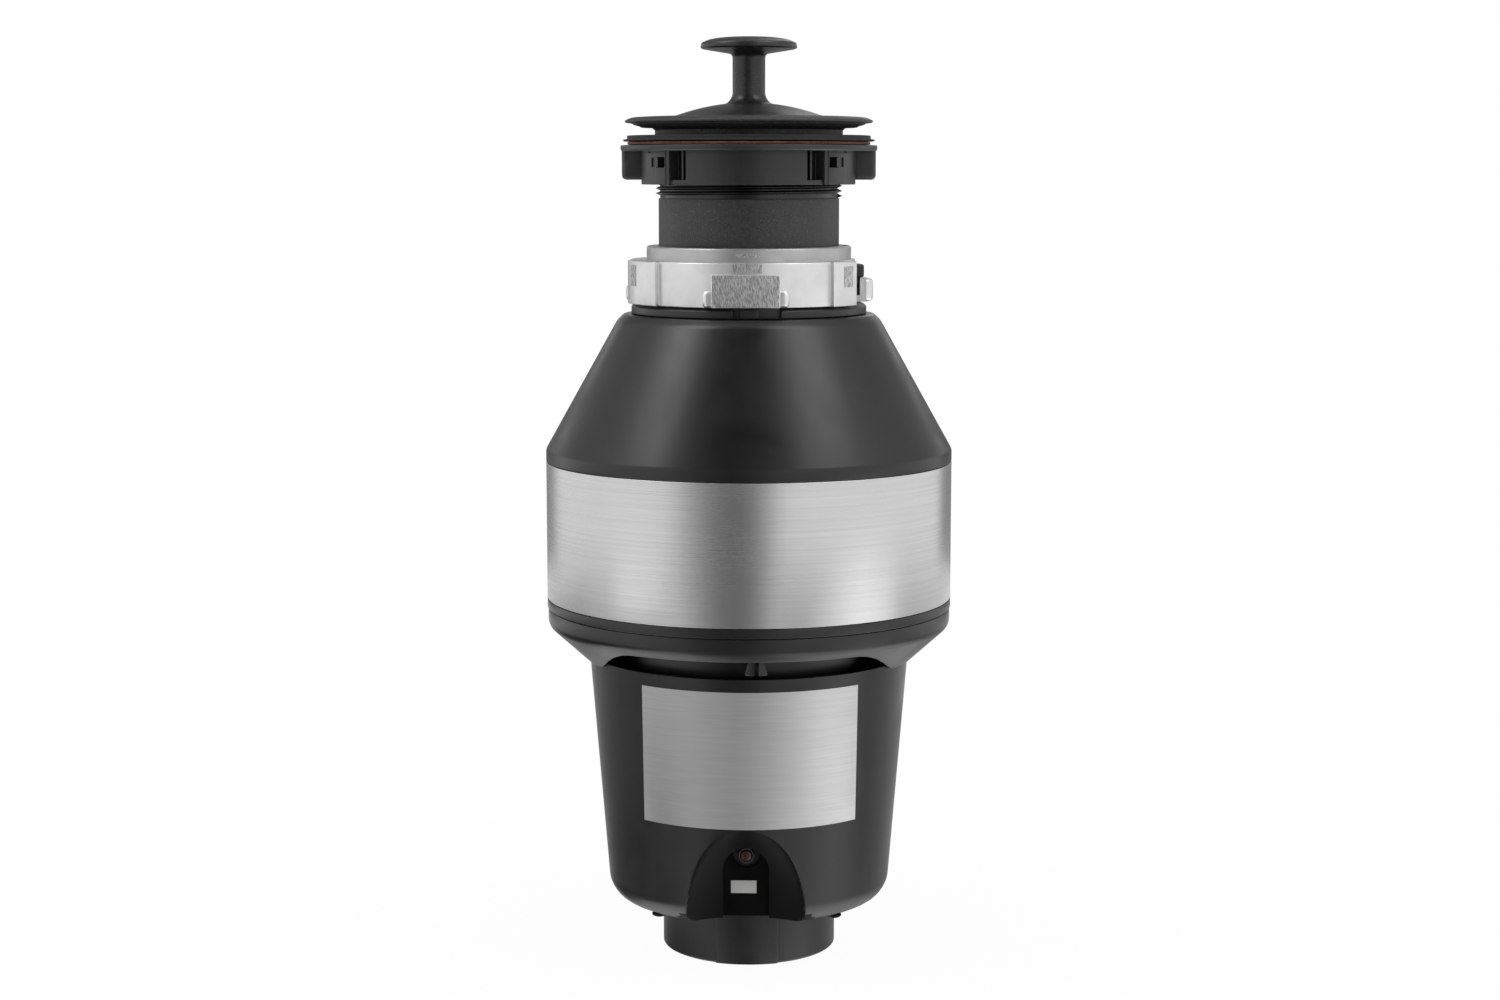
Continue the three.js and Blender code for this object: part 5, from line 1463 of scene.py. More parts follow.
@dataclass
class Neck(SubAssembly):
    """The neck of the machine: the black collar, the cushion and the splash guard.

    Attributes:
        flange: Height of the collar's flange.
        neck_radius: Outside of the collar's neck.
        inner_radius: Inside of the collar.
        ear_radius: Reach of the ears that the ring locks on.
        ear_span: Half the angle of an ear.
        notch: Where the notch in the flange starts and ends, from the front.
        stop: Where the stop in the notch starts and ends.
        tab: Where the tab in the ring's gap starts and ends.
        tab_radius: Reach of that tab.
        baffle_hole: Radius of the hole in the splash guard.
        baffle_flaps: Number of its flaps.
        baffle_hinge: Radius at which the flaps hinge.
        ear_rise: Foot of the ears above the flange.
        tab_rise: Foot of the tab above the foot of the quick-lock ring.
        tab_height: Height of the tab.
    """

    flange: float = 4.4 * MM
    neck_radius: float = 47.3 * MM
    inner_radius: float = 44.3 * MM
    ear_radius: float = 50.6 * MM
    ear_span: float = 8.0
    notch: Span = (-6.0, 17.0)
    stop: Span = (-2.6, 6.0)
    tab: Span = (96.0, 112.0)
    tab_radius: float = 53.8 * MM
    baffle_hole: float = 10.0 * MM
    baffle_flaps: int = 6
    baffle_hinge: float = 33.5 * MM
    ear_rise: float = 3.8 * MM
    tab_rise: float = 11.2 * MM
    tab_height: float = 6.2 * MM

    def collar(self) -> Mesh:
        """The collar, with a notch and a stop at the front and three ears.

        Returns:
            The body.
        """
        extent = Extent.of("mount_collar")
        foot, top, reach, inner = extent.bottom, extent.top, extent.radius, self.inner_radius
        flange_top = foot + self.flange
        body = turn([
            (inner, foot), (reach, foot, 0.3 * MM), (reach, flange_top - 1.2 * MM, 0.5 * MM),
            (reach - 1.4 * MM, flange_top, 0.5 * MM), (self.neck_radius, flange_top),
            (self.neck_radius, top, 0.4 * MM), (inner, top),
        ])
        notch = sector(reach - 2.4 * MM, reach + 1 * MM, *self.notch, foot + 0.5 * MM, flange_top + 1 * MM)
        stop = sector(reach - 3.4 * MM, reach - 0.6 * MM, *self.stop, foot, flange_top - 0.4 * MM)
        half, ear_foot = self.ear_span, flange_top + self.ear_rise
        ear = sector(inner + 1 * MM, self.ear_radius, -half, half, ear_foot, top)
        tab_foot = Extent.of("lock_ring").bottom + self.tab_rise
        tab = sector(inner + 1 * MM, self.tab_radius, *self.tab, tab_foot, tab_foot + self.tab_height)
        return joined(cut(body, notch), soften(stop, 0.4 * MM), soften(tab, 1.1 * MM), *around(ear, 3))

    def baffle(self) -> Mesh:
        """The splash guard: a seat ring and a dished diaphragm, slit into flaps."""
        extent = Extent.of("splash_guard")
        seat, bottom, top = extent.radius, extent.bottom, extent.top
        foot, hinge, hole = top - 4.5 * MM, self.baffle_hinge, self.baffle_hole
        body = turn([
            (seat, foot), (seat, top, 0.4 * MM), (seat - 3 * MM, top, 0.6 * MM),
            (hinge, foot + 1.8 * MM, 1.2 * MM), (hole, bottom + 1.8 * MM, 0.5 * MM),
            (hole, bottom, 0.5 * MM), (hinge + 0.6 * MM, foot, 1.0 * MM),
        ])
        slit_end = (0.5 * MM, -hole + 2 * MM, top + 1 * MM)
        slit = block((-0.5 * MM, -hinge + 3 * MM, bottom - 1 * MM), slit_end)
        return cut(body, *around(slit, self.baffle_flaps))

    def pieces(self) -> Iterator[Piece]:
        """The collar and the splash guard."""
        yield Piece("neck_collar", self.collar(), Palette.satin, ("mount_collar",))
        yield Piece("splash_baffle", self.baffle(), Palette.rubber, ("splash_guard",))


@dataclass
class Casing(SubAssembly):
    """The outer casing: conical upper cover, steel band and tapered lower cover.

    Attributes:
        wall: Thickness of the plastic.
        band_depth: Depth of the band's seat in the cover.
        lip: Strip of the cover below the band.
        shoulder: Upright strip of the cover above the band.
        cone_top_radius: Radius at the top of the cone.
        cap_height: Height of the chamfer above the cone.
        cap_radius: Radius of the flat top.
        neck_hole: Radius of the hole for the hopper's neck.
        taper_height: Height of the lower cover's taper.
        skirt_radius: Inside of the lower cover's foot, over the housing.
        tube_radius: Inside of its inner tube, round the motor.
        vent_head: Half the width of a cooling slot at its top.
        vent_foot: Half its width at the foot.
        outlet: Radius of the opening for the drain outlet.
        nipple: Radius of the opening for the dishwasher nipple.
        outlet_drop: Axis of the outlet below the top of the drain bowl.
        gusset_turn: Middle of a pair of gussets, in degrees from the middle of a slot.
    """

    wall: float = 2.6 * MM
    band_depth: float = 1.0 * MM
    lip: float = 4.6 * MM
    shoulder: float = 5.4 * MM
    cone_top_radius: float = 61.0 * MM
    cap_height: float = 3.0 * MM
    cap_radius: float = 57.8 * MM
    neck_hole: float = 39.3 * MM
    taper_height: float = 16.0 * MM
    skirt_radius: float = 75.3 * MM
    tube_radius: float = 63.0 * MM
    vent_head: float = 57.7 * MM
    vent_foot: float = 67.4 * MM
    outlet: float = 20.8 * MM
    nipple: float = 10.6 * MM
    outlet_drop: float = 21.5 * MM
    gusset_turn: float = 3.9

    def __post_init__(self) -> None:
        """Takes the casing's heights and its pipe openings from the frame."""
        self.cover = Extent.of("upper_cover")
        self.band = Extent.of("steel_band")
        self.lower = Extent.of("lower_cover")
        self.outlet_height = Extent.of("drain_bowl").top - self.outlet_drop
        self.nipple_height = Extent.of("dishwasher_plug").middle

    def pipe_cutters(self) -> list[Mesh]:
        """The cutters for the drain outlet and the dishwasher nipple, at the back."""
        reach = self.cover.radius
        places = (
            (self.outlet, reach / 2, self.outlet_height), (self.nipple, 30 * MM, self.nipple_height),
        )
        return [
            laid_back(rod(radius, 0.0, 2 * reach, SMALL_ROUND * 2), start, height)
            for radius, start, height in places
        ]

    def upper_cover(self) -> Mesh:
        """The cover, seated for the band and open for the pipes.

        Returns:
            The body.
        """
        reach, top, foot = self.cover.radius, self.cover.top, self.cover.bottom
        seat = reach - self.band_depth
        inner = seat - self.wall + SEAT
        corner, cone_top, ceiling = self.band.top + self.shoulder, top - self.cap_height, top - self.wall
        lip_top, seat_top = foot + self.lip - SEAT, self.band.top + SEAT
        body = turn([
            (self.neck_hole, ceiling), (self.cap_radius - 2 * MM, ceiling),
            (self.cone_top_radius - self.wall, cone_top - self.wall), (inner, corner),
            (inner, foot), (reach, foot, 0.35 * MM), (reach, lip_top, 0.25 * MM), (seat, lip_top),
            (seat, seat_top), (reach, seat_top, 0.25 * MM), (reach, corner, 1.0 * MM),
            (self.cone_top_radius, cone_top, 1.2 * MM), (self.cap_radius, top, 0.8 * MM),
            (self.neck_hole, top),
        ])
        return cut(body, *self.pipe_cutters())

    def band_sheet(self) -> Mesh:
        """The steel band, with softly broken edges."""
        reach, foot, top = self.band.radius, self.band.bottom, self.band.top
        inner = reach - self.band_depth + SEAT
        corners = [(inner, foot), (reach, foot, 0.2 * MM), (reach, top, 0.2 * MM), (inner, top)]
        body = turn(corners, ROUND * 2)
        return cut(body, self.pipe_cutters()[0])

    def gussets(self) -> list[Mesh]:
        """A pair of gussets, thin at the top and flared at the foot, that stand in a cooling slot."""
        foot, head = self.lower.bottom + 4.6 * MM, self.lower.bottom + self.taper_height - 1.5 * MM
        plan = ((70 * MM, 0.9), (79 * MM, 0.6), (77.5 * MM, 3.9), (70 * MM, 3.4))
        made = []
        for side in (-1.0, 1.0):
            outline = [polar(reach, self.gusset_turn + side * aside) for reach, aside in plan]
            gusset = raised(outline, foot, head)
            top = [vert for vert in gusset.verts if vert.co.z > (foot + head) / 2]
            pinch = polar(76 * MM, self.gusset_turn + side * 1.1)
            bmesh.ops.scale(gusset, vec=(0.34, 0.34, 1.0), verts=top, space=Matrix.Translation(-pinch))
            made.append(soften(gusset, 0.5 * MM, sharper_than=20.0))
        return made

    def lower_cover(self) -> Mesh:
        """The lower cover: upright wall, taper at the sides, cooling slots at the front and back.

        Returns:
            The body.
        """
        foot, top, reach = self.lower.bottom, self.lower.top, self.lower.radius
        taper_top, skirt, tube = foot + self.taper_height, self.skirt_radius, self.tube_radius
        web_foot, web_top = taper_top - 1 * MM, taper_top + self.wall - 1 * MM
        tube_out, inner = tube + self.wall, reach - self.wall
        body = turn([
            (tube, foot), (tube_out, foot), (tube_out, web_foot, 1.5 * MM), (skirt, web_foot),
            (skirt, foot, 0.2 * MM), (skirt + 1.1 * MM, foot, 0.5 * MM), (reach, taper_top, 2.2 * MM),
            (reach, top, 0.3 * MM), (inner, top), (inner, web_top), (tube, web_top),
        ])
        slot_foot, slot_head = foot - 1 * MM, taper_top - 3 * MM
        outline = [
            Vector((side * half, -height)) for side, half, height in (
                (-1, self.vent_foot, slot_foot), (1, self.vent_foot, slot_foot),
                (1, self.vent_head, slot_head), (-1, self.vent_head, slot_head),
            )
        ]
        prism = raised(outline, 8 * MM, reach + 5 * MM)
        wedge = soften(prism, 7 * MM, lambda middle: middle.y < 0.5 * MM - slot_head)
        slot = cut(laid_back(wedge, 0.0, 0.0), rod(tube_out, foot - 2 * MM, taper_top))
        slotted = soften(
            cut(body, *around(slot, 2)), 0.5 * MM,
            lambda middle: middle.z < taper_top - 0.5 * MM and middle.xy.length > skirt,
        )
        gussets = [swung(gusset, angle) for gusset in self.gussets() for angle in (0.0, 180.0)]
        return joined(slotted, *gussets)

    def pieces(self) -> Iterator[Piece]:
        """The covers and the band."""
        yield Piece("upper_cover_shell", self.upper_cover(), Palette.cover, ("upper_cover",))
        yield Piece("band_sheet", self.band_sheet(), Palette.band, ("steel_band",))
        yield Piece("lower_cover_shell", self.lower_cover(), Palette.cover, ("lower_cover",))


@dataclass
class MotorHousing(SubAssembly):
    """The tapered motor housing with its finger recess, rating plate, button and bolts.

    Attributes:
        foot_radius: Radius of the flat underside.
        low_radius: Radius above the rounded foot.
        foot_height: Height of the rounded foot.
        wall: Thickness of the plastic.
        scoop_axis: Upright axis of the scoop, in front of the centre line.
        scoop_radius: Half the scoop's width at its foot.
        scoop_reach: Half its depth there.
        scoop_height: Height of the scoop.
        pocket_half_width: Half the width of the arched pocket.
        pocket_back: Distance of the pocket's back wall from the centre line.
        pocket_top: Top of the arch above the housing's foot.
        button_radius: Radius of the reset button.
        button_rise: Its axis above the housing's foot.
        plate_low: Lower edge of the rating plate.
        plate_high: Upper edge of the rating plate.
        plate_width: Width of the rating plate.
        plate_turn: Angle of its middle from the front.
        rings: Level rings that split the wall's faces.
        bolt_circle: Distance of the bolts from the axis.
        holes: Radii of the button's hole, a bolt's hole and the wiring hole.
        recess_shade_depth: Depth below the wall from which the recess faces take the painted shade.
        recess_shade_back: Distance from the centre line at which the painted shade in the recess ends.
        label_low: Left end and foot of the blank label.
        label_high: Its right end and top.
    """

    foot_radius: float = 61.2 * MM
    low_radius: float = 65.9 * MM
    foot_height: float = 6.0 * MM
    wall: float = 2.6 * MM
    scoop_axis: float = 66.0 * MM
    scoop_radius: float = 30.5 * MM
    scoop_reach: float = 18.0 * MM
    scoop_height: float = 48.0 * MM
    pocket_half_width: float = 10.6 * MM
    pocket_back: float = 45.5 * MM
    pocket_top: float = 34.2 * MM
    button_radius: float = 2.5 * MM
    button_rise: float = 28.7 * MM
    plate_low: float = 71.5 * MM
    plate_high: float = 135.2 * MM
    plate_width: float = 106.0 * MM
    plate_turn: float = 2.0
    rings: int = 14
    bolt_circle: float = 57.0 * MM
    holes: Triple = (6.2 * MM, 2.3 * MM, 12.0 * MM)
    recess_shade_depth: float = 1.2 * MM
    recess_shade_back: float = 30.0 * MM
    label_low: Span = (-7.1 * MM, 10.6 * MM)
    label_high: Span = (4.7 * MM, 16.6 * MM)

    def __post_init__(self) -> None:
        """Takes the housing's place from the frame."""
        self.extent = Extent.of("motor_housing")
        self.bottom = self.extent.bottom

    def radius_at(self, height: float) -> float:
        """The outer radius of the tapered wall at a height."""
        low = self.bottom + self.foot_height
        share = (height - low) / (self.extent.top - low)
        return self.low_radius + (self.extent.radius - self.low_radius) * share

    def bucket(self, inset: float) -> Mesh:
        """The solid bucket, moved inwards by an inset and open above where there is one."""
        foot = self.bottom + inset
        top = self.extent.top + (1 * MM if inset else 0.0)
        low = foot + self.foot_height + 4 * MM
        rings = [low + (top - 6 * MM - low) * i / self.rings for i in range(self.rings + 1)]
        return turn([
            (0.0, foot), (self.foot_radius - inset, foot, 3.2 * MM),
            (self.low_radius - inset, foot + self.foot_height, 3.2 * MM),
            *((self.radius_at(height) - inset, height) for height in rings),
            (self.radius_at(top) - inset, top), (0.0, top),
        ])

    def scoop(self, grow: float) -> Mesh:
        """The scoop in front of the button, grown by a wall."""
        foot, low = self.bottom, self.bottom - 5 * MM
        side = curve(
            Vector((self.scoop_radius + grow, foot)),
            Vector((0.8 * self.scoop_radius + grow, foot + 0.9 * self.scoop_height)),
            Vector((0.0, foot + self.scoop_height + grow)), 28,
        )
        body = turn([(0.0, low), (self.scoop_radius + grow, low), *((p.x, p.y) for p in side)], 160)
        narrowing = (self.scoop_reach + grow) / (self.scoop_radius + grow)
        bmesh.ops.scale(body, verts=body.verts, vec=(1, narrowing, 1))
        bmesh.ops.translate(body, verts=body.verts, vec=(0, -self.scoop_axis, 0))
        return body

    def pocket(self, grow: float) -> Mesh:
        """The arched pocket behind the scoop, grown by a wall."""
        half = self.pocket_half_width + grow
        springing = self.pocket_top - self.pocket_half_width
        head = [Vector((half * math.cos(turn_by), springing + half * math.sin(turn_by)))
                for turn_by in (math.pi * i / 24 for i in range(25))]
        foot = -1 * MM - grow
        outline = [Vector((-half, foot)), Vector((half, foot)), *head]
        depth = self.scoop_axis - self.pocket_back + grow
        body = raised([Vector((p.x, -p.y)) for p in outline], 0.0, depth)
        return laid_back(body, -self.scoop_axis, self.bottom)

    def shell(self) -> Mesh:
        """The housing with painted shade in its recess, the button's hole and the bolt holes.

        Returns:
            The body, its recess faces with a material index of one, which carries the painted shade.
        """
        bottom, top, back = self.bottom, self.extent.top, self.pocket_back
        inside = cut(self.bucket(self.wall), self.scoop(self.wall), self.pocket(self.wall))
        scooped = soften(
            cut(self.bucket(0.0), self.scoop(0.0)), 1.1 * MM,
            lambda middle: bottom + 0.5 * MM < middle.z < top - 5 * MM, 9.0,
        )
        pocketed = soften(
            cut(scooped, self.pocket(0.0)), 0.6 * MM,
            lambda middle: abs(middle.x) < self.pocket_half_width + 0.5 * MM
            and middle.z > bottom + 0.4 * MM and back - 0.2 * MM < -middle.y < self.scoop_axis,
        )
        below, above = bottom - 1 * MM, bottom + self.wall + 1 * MM
        button_hole, bolt_hole, wiring_hole = self.holes
        button = rod(button_hole, 0.0, 12 * MM, SMALL_ROUND)
        laid_back(button, -back - 5 * MM, bottom + self.button_rise)
        wiring = rod(wiring_hole, below, above, SMALL_ROUND)
        bolt = rod(bolt_hole, below, above, SMALL_ROUND)
        bmesh.ops.translate(bolt, verts=bolt.verts, vec=(0, -self.bolt_circle, 0))
        made = cut(pocketed, inside, button, wiring, *around(bolt, 4, 45.0))
        # Painted shade: the faces deep in the scoop and pocket take the darker recess finish.
        for face in made.faces:
            middle = face.calc_center_median()
            deep = middle.xy.length < self.radius_at(middle.z) - self.recess_shade_depth
            ahead = abs(middle.x) < self.scoop_radius and middle.y < -self.recess_shade_back
            if deep and ahead and middle.z > bottom:
                face.material_index = 1
        return made

    def rating_plate(self) -> Mesh:
        """The blank plate, bent round the taper."""
        bm = bmesh.new()
        bmesh.ops.create_grid(bm, x_segments=64, y_segments=8, size=0.5)
        proud = 0.12 * MM
        for vert in bm.verts:
            height = self.plate_low + (vert.co.y + 0.5) * (self.plate_high - self.plate_low)
            radius = self.radius_at(height) + proud
            angle = self.plate_turn + math.degrees(vert.co.x * self.plate_width / radius)
            vert.co = polar(radius, angle, height)
        bmesh.ops.recalc_face_normals(bm, faces=bm.faces)
        if bm.faces[0].normal.dot(bm.faces[0].calc_center_median()) < 0:
            bmesh.ops.reverse_faces(bm, faces=bm.faces)
        bmesh.ops.solidify(bm, geom=bm.faces[:], thickness=0.3 * MM)
        return tidy(bm)

    def reset_label(self) -> Mesh:
        """The blank label below the button."""
        face = -self.pocket_back - 0.25 * MM
        (left, foot), (right, head) = self.label_low, self.label_high
        corner = (right, face + 0.35 * MM, self.bottom + head)
        return block((left, face, self.bottom + foot), corner, 0.1 * MM)

    def button(self) -> Mesh:
        """The reset button, softly crowned."""
        extent = Extent.of("reset_button")
        length = extent.high.y - extent.low.y
        radius = self.button_radius
        body = turn([
            (0.0, 0.0), (radius * 0.5, 0.06 * MM, 0.4 * MM), (radius, 0.4 * MM, 0.3 * MM),
            (radius, length), (0.0, length),
        ], SMALL_ROUND)
        return laid_back(body, extent.low.y, extent.middle)

    def protector(self) -> Mesh:
        """The overload protector: its block and the threaded bushing round the button."""
        extent = Extent.of("overload_protector")
        front = -self.pocket_back + self.wall + SEAT
        axis = self.bottom + self.button_rise
        box = block((extent.low.x, front, extent.bottom), extent.high, 0.8 * MM)
        reach = front - extent.low.y
        bore = self.button_radius + SEAT
        outside, end = bore + 0.9 * MM, reach + 2 * MM
        corners = [(bore, 0.0, 0.2 * MM), (outside, 0.0, 0.25 * MM), (outside, end), (bore, end)]
        bushing = laid_back(turn(corners, SMALL_ROUND), extent.low.y, axis)
        channel = laid_back(rod(bore, 0.0, 13 * MM, SMALL_ROUND), front - 1 * MM, axis)
        return joined(cut(box, channel), bushing)

    def bolt(self, node: str) -> Mesh:
        """A through bolt with a rounded head and a cross recess."""
        extent = Extent.of(node)
        centre = (extent.low + extent.high) / 2
        foot, top, head = extent.bottom, extent.top, extent.bottom + 1.6 * MM
        body = turn([
            (0.0, foot), (2.2 * MM, foot, 0.4 * MM), (3.4 * MM, foot + 0.7 * MM, 0.4 * MM),
            (3.4 * MM, head, 0.2 * MM), (2.0 * MM, head), (2.0 * MM, top, 0.4 * MM), (0.0, top),
        ], 48)
        slot = block((-0.5 * MM, -1.8 * MM, foot - 1 * MM), (0.5 * MM, 1.8 * MM, foot + 1 * MM))
        made = cut(body, slot, swung(slot, 90.0))
        bmesh.ops.translate(made, verts=made.verts, vec=(centre.x, centre.y, 0))
        return made

    def pieces(self) -> Iterator[Piece]:
        """The shell, the plates, the button with its protector and the bolts."""
        shell, recess = self.shell(), (Palette.recess,)
        yield Piece("housing_shell", shell, Palette.housing, ("motor_housing",), others=recess)
        yield Piece("rating_plate", self.rating_plate(), Palette.plate)
        yield Piece("reset_label", self.reset_label(), Palette.label)
        yield Piece("reset_button_cap", self.button(), Palette.button, ("reset_button",), Carrier.BUTTON)
        yield Piece("protector_body", self.protector(), Palette.carbon, ("overload_protector",))
        for index in range(1, 5):
            node = f"through_bolt_{index}"
            yield Piece(f"housing_bolt_{index}", self.bolt(node), Palette.blackened, (node,))


@dataclass
class WiringBase(SubAssembly):
    """The wiring box that the machine stands on, with its panel and cable bushing.

    Attributes:
        wall: Thickness of the plastic.
        floor: Thickness of the floor.
        panel_span: Half the angle of the panel.
        panel_thickness: Thickness of the panel.
        gland_radius: Radius of the cable bushing.
        gland_bore: Its bore.
        gland_hole: Radius of the hole for it.
    """

    wall: float = 2.6 * MM
    floor: float = 3.0 * MM
    panel_span: float = 20.0
    panel_thickness: float = 1.4 * MM
    gland_radius: float = 6.5 * MM
    gland_bore: float = 3.5 * MM
    gland_hole: float = 6.8 * MM

    def __post_init__(self) -> None:
        """Takes the box and its panel from the frame."""
        self.extent = Extent.of("wiring_box")

    def box(self) -> Mesh:
        """The round box, open at the front behind its panel and at the back for the cable."""
        reach, top, floor = self.extent.radius, self.extent.top, self.floor
        inner, half = reach - self.wall, self.panel_span - 5
        body = turn([
            (0.0, 0.0), (reach, 0.0, 1.1 * MM), (reach, top, 0.3 * MM), (inner, top),
            (inner, floor, 1 * MM), (0.0, floor),
        ])
        opening = sector(inner - 2 * MM, reach + 2 * MM, -half, half, floor + 2 * MM, top - 4 * MM)
        hole = laid_back(rod(self.gland_hole, 0.0, 20 * MM, SMALL_ROUND), reach - 8 * MM, (top + SEAT) / 2)
        return cut(body, opening, hole)

    def panel(self) -> Mesh:
        """The panel over the front of the box, with broken edges."""
        extent = Extent.of("wiring_panel")
        inner, half = self.extent.radius + SEAT, self.panel_span
        body = sector(inner, inner + self.panel_thickness, -half, half, extent.bottom, extent.top)
        return soften(body, 0.35 * MM, lambda middle: middle.xy.length > inner + 0.5 * MM)

    def gland(self) -> Mesh:
        """The rubber bushing, with a flange outside and a grooved sleeve."""
        extent = Extent.of("cable_gland")
        length = extent.high.y - extent.low.y
        radius, bore, flange = self.gland_radius, self.gland_bore, self.gland_radius + 2.5 * MM
        body = turn([
            (bore, 0.0), (radius, 0.0, 0.4 * MM), (radius, 6.5 * MM), (flange, 6.5 * MM, 0.4 * MM),
            (flange, 9 * MM, 0.6 * MM), (radius, 9.5 * MM, 0.6 * MM), (radius - 1 * MM, length, 0.8 * MM),
            (bore, length, 0.5 * MM),
        ], SMALL_ROUND)
        return laid_back(body, extent.low.y, extent.middle)

    def pieces(self) -> Iterator[Piece]:
        """The box, the panel and the bushing."""
        yield Piece("wiring_box_shell", self.box(), Palette.satin, ("wiring_box",))
        yield Piece("wiring_panel_cover", self.panel(), Palette.satin, ("wiring_panel",))
        yield Piece("cable_bushing", self.gland(), Palette.rubber, ("cable_gland",))


class InnerParts:
    """The pieces inside the casing, which keep the frame's own meshes and take their finishes.

    Attributes:
        finishes: The nodes that each finish goes on.
    """

    finishes: tuple[tuple[Finish, tuple[str, ...]], ...] = (
        (Palette.cast, ("drain_bowl", "end_frame")),
        (Palette.grained, ("hopper", "inlet_neck")),
        (Palette.rubber, ("dishwasher_plug", "slinger", "shaft_seal", "cushion_mount")),
        (Palette.foam, ("sound_insulation",)),
        (Palette.stainless, ("shredder_ring", "turntable", "lug_a", "lug_b")),
        (Palette.steel, (
            "lug_rivet_a", "lug_rivet_b", "motor_shaft", "turntable_nut", "upper_bearing",
            "lower_bearing", "motor_can", "brush_spring_a", "brush_spring_b",
        )),
        (Palette.laminations, ("armature_core",)),
        (Palette.copper, ("winding_lower", "winding_upper", "commutator")),
        (Palette.ferrite, ("magnet_a", "magnet_b")),
        (Palette.phenolic, ("brush_holder_a", "brush_holder_b")),
        (Palette.carbon, ("carbon_brush_a", "carbon_brush_b")),
        (Palette.board, ("rectifier_board",)),
    )

    def dress(self, nodes: Mapping[str, bpy.types.Object]) -> None:
        """Gives every node its finish.

        Args:
            nodes: The frame's nodes by name.
        """
        for finish, names in self.finishes:
            for name in names:
                slots = nodes[name].data.materials
                slots.clear()
                slots.append(finish.material())
            LOG.info("%s: %s", finish.name, ", ".join(names))


# ---- studio


@dataclass(frozen=True)
class Softbox:
    """A rectangular lamp that faces the object.

    Attributes:
        name: Its name.
        azimuth: Degrees from the front, turning towards +X.
        elevation: Degrees above the horizon.
        width: Its width.
        height: Its height.
        radiance: How bright its face is, where one is white.
    """

    name: str
    azimuth: float
    elevation: float
    width: float
    height: float
    radiance: float


@dataclass(frozen=True)
class Card:
    """A tall curved card that only reflections see.

    Attributes:
        name: Its name.
        azimuths: Its left and right edges, in degrees from the front.
        heights: Its lower and upper edges.
        tones: (share of the width from the left, brightness) pairs.
    """

    name: str
    azimuths: Span
    heights: Span
    tones: tuple[Span, ...]


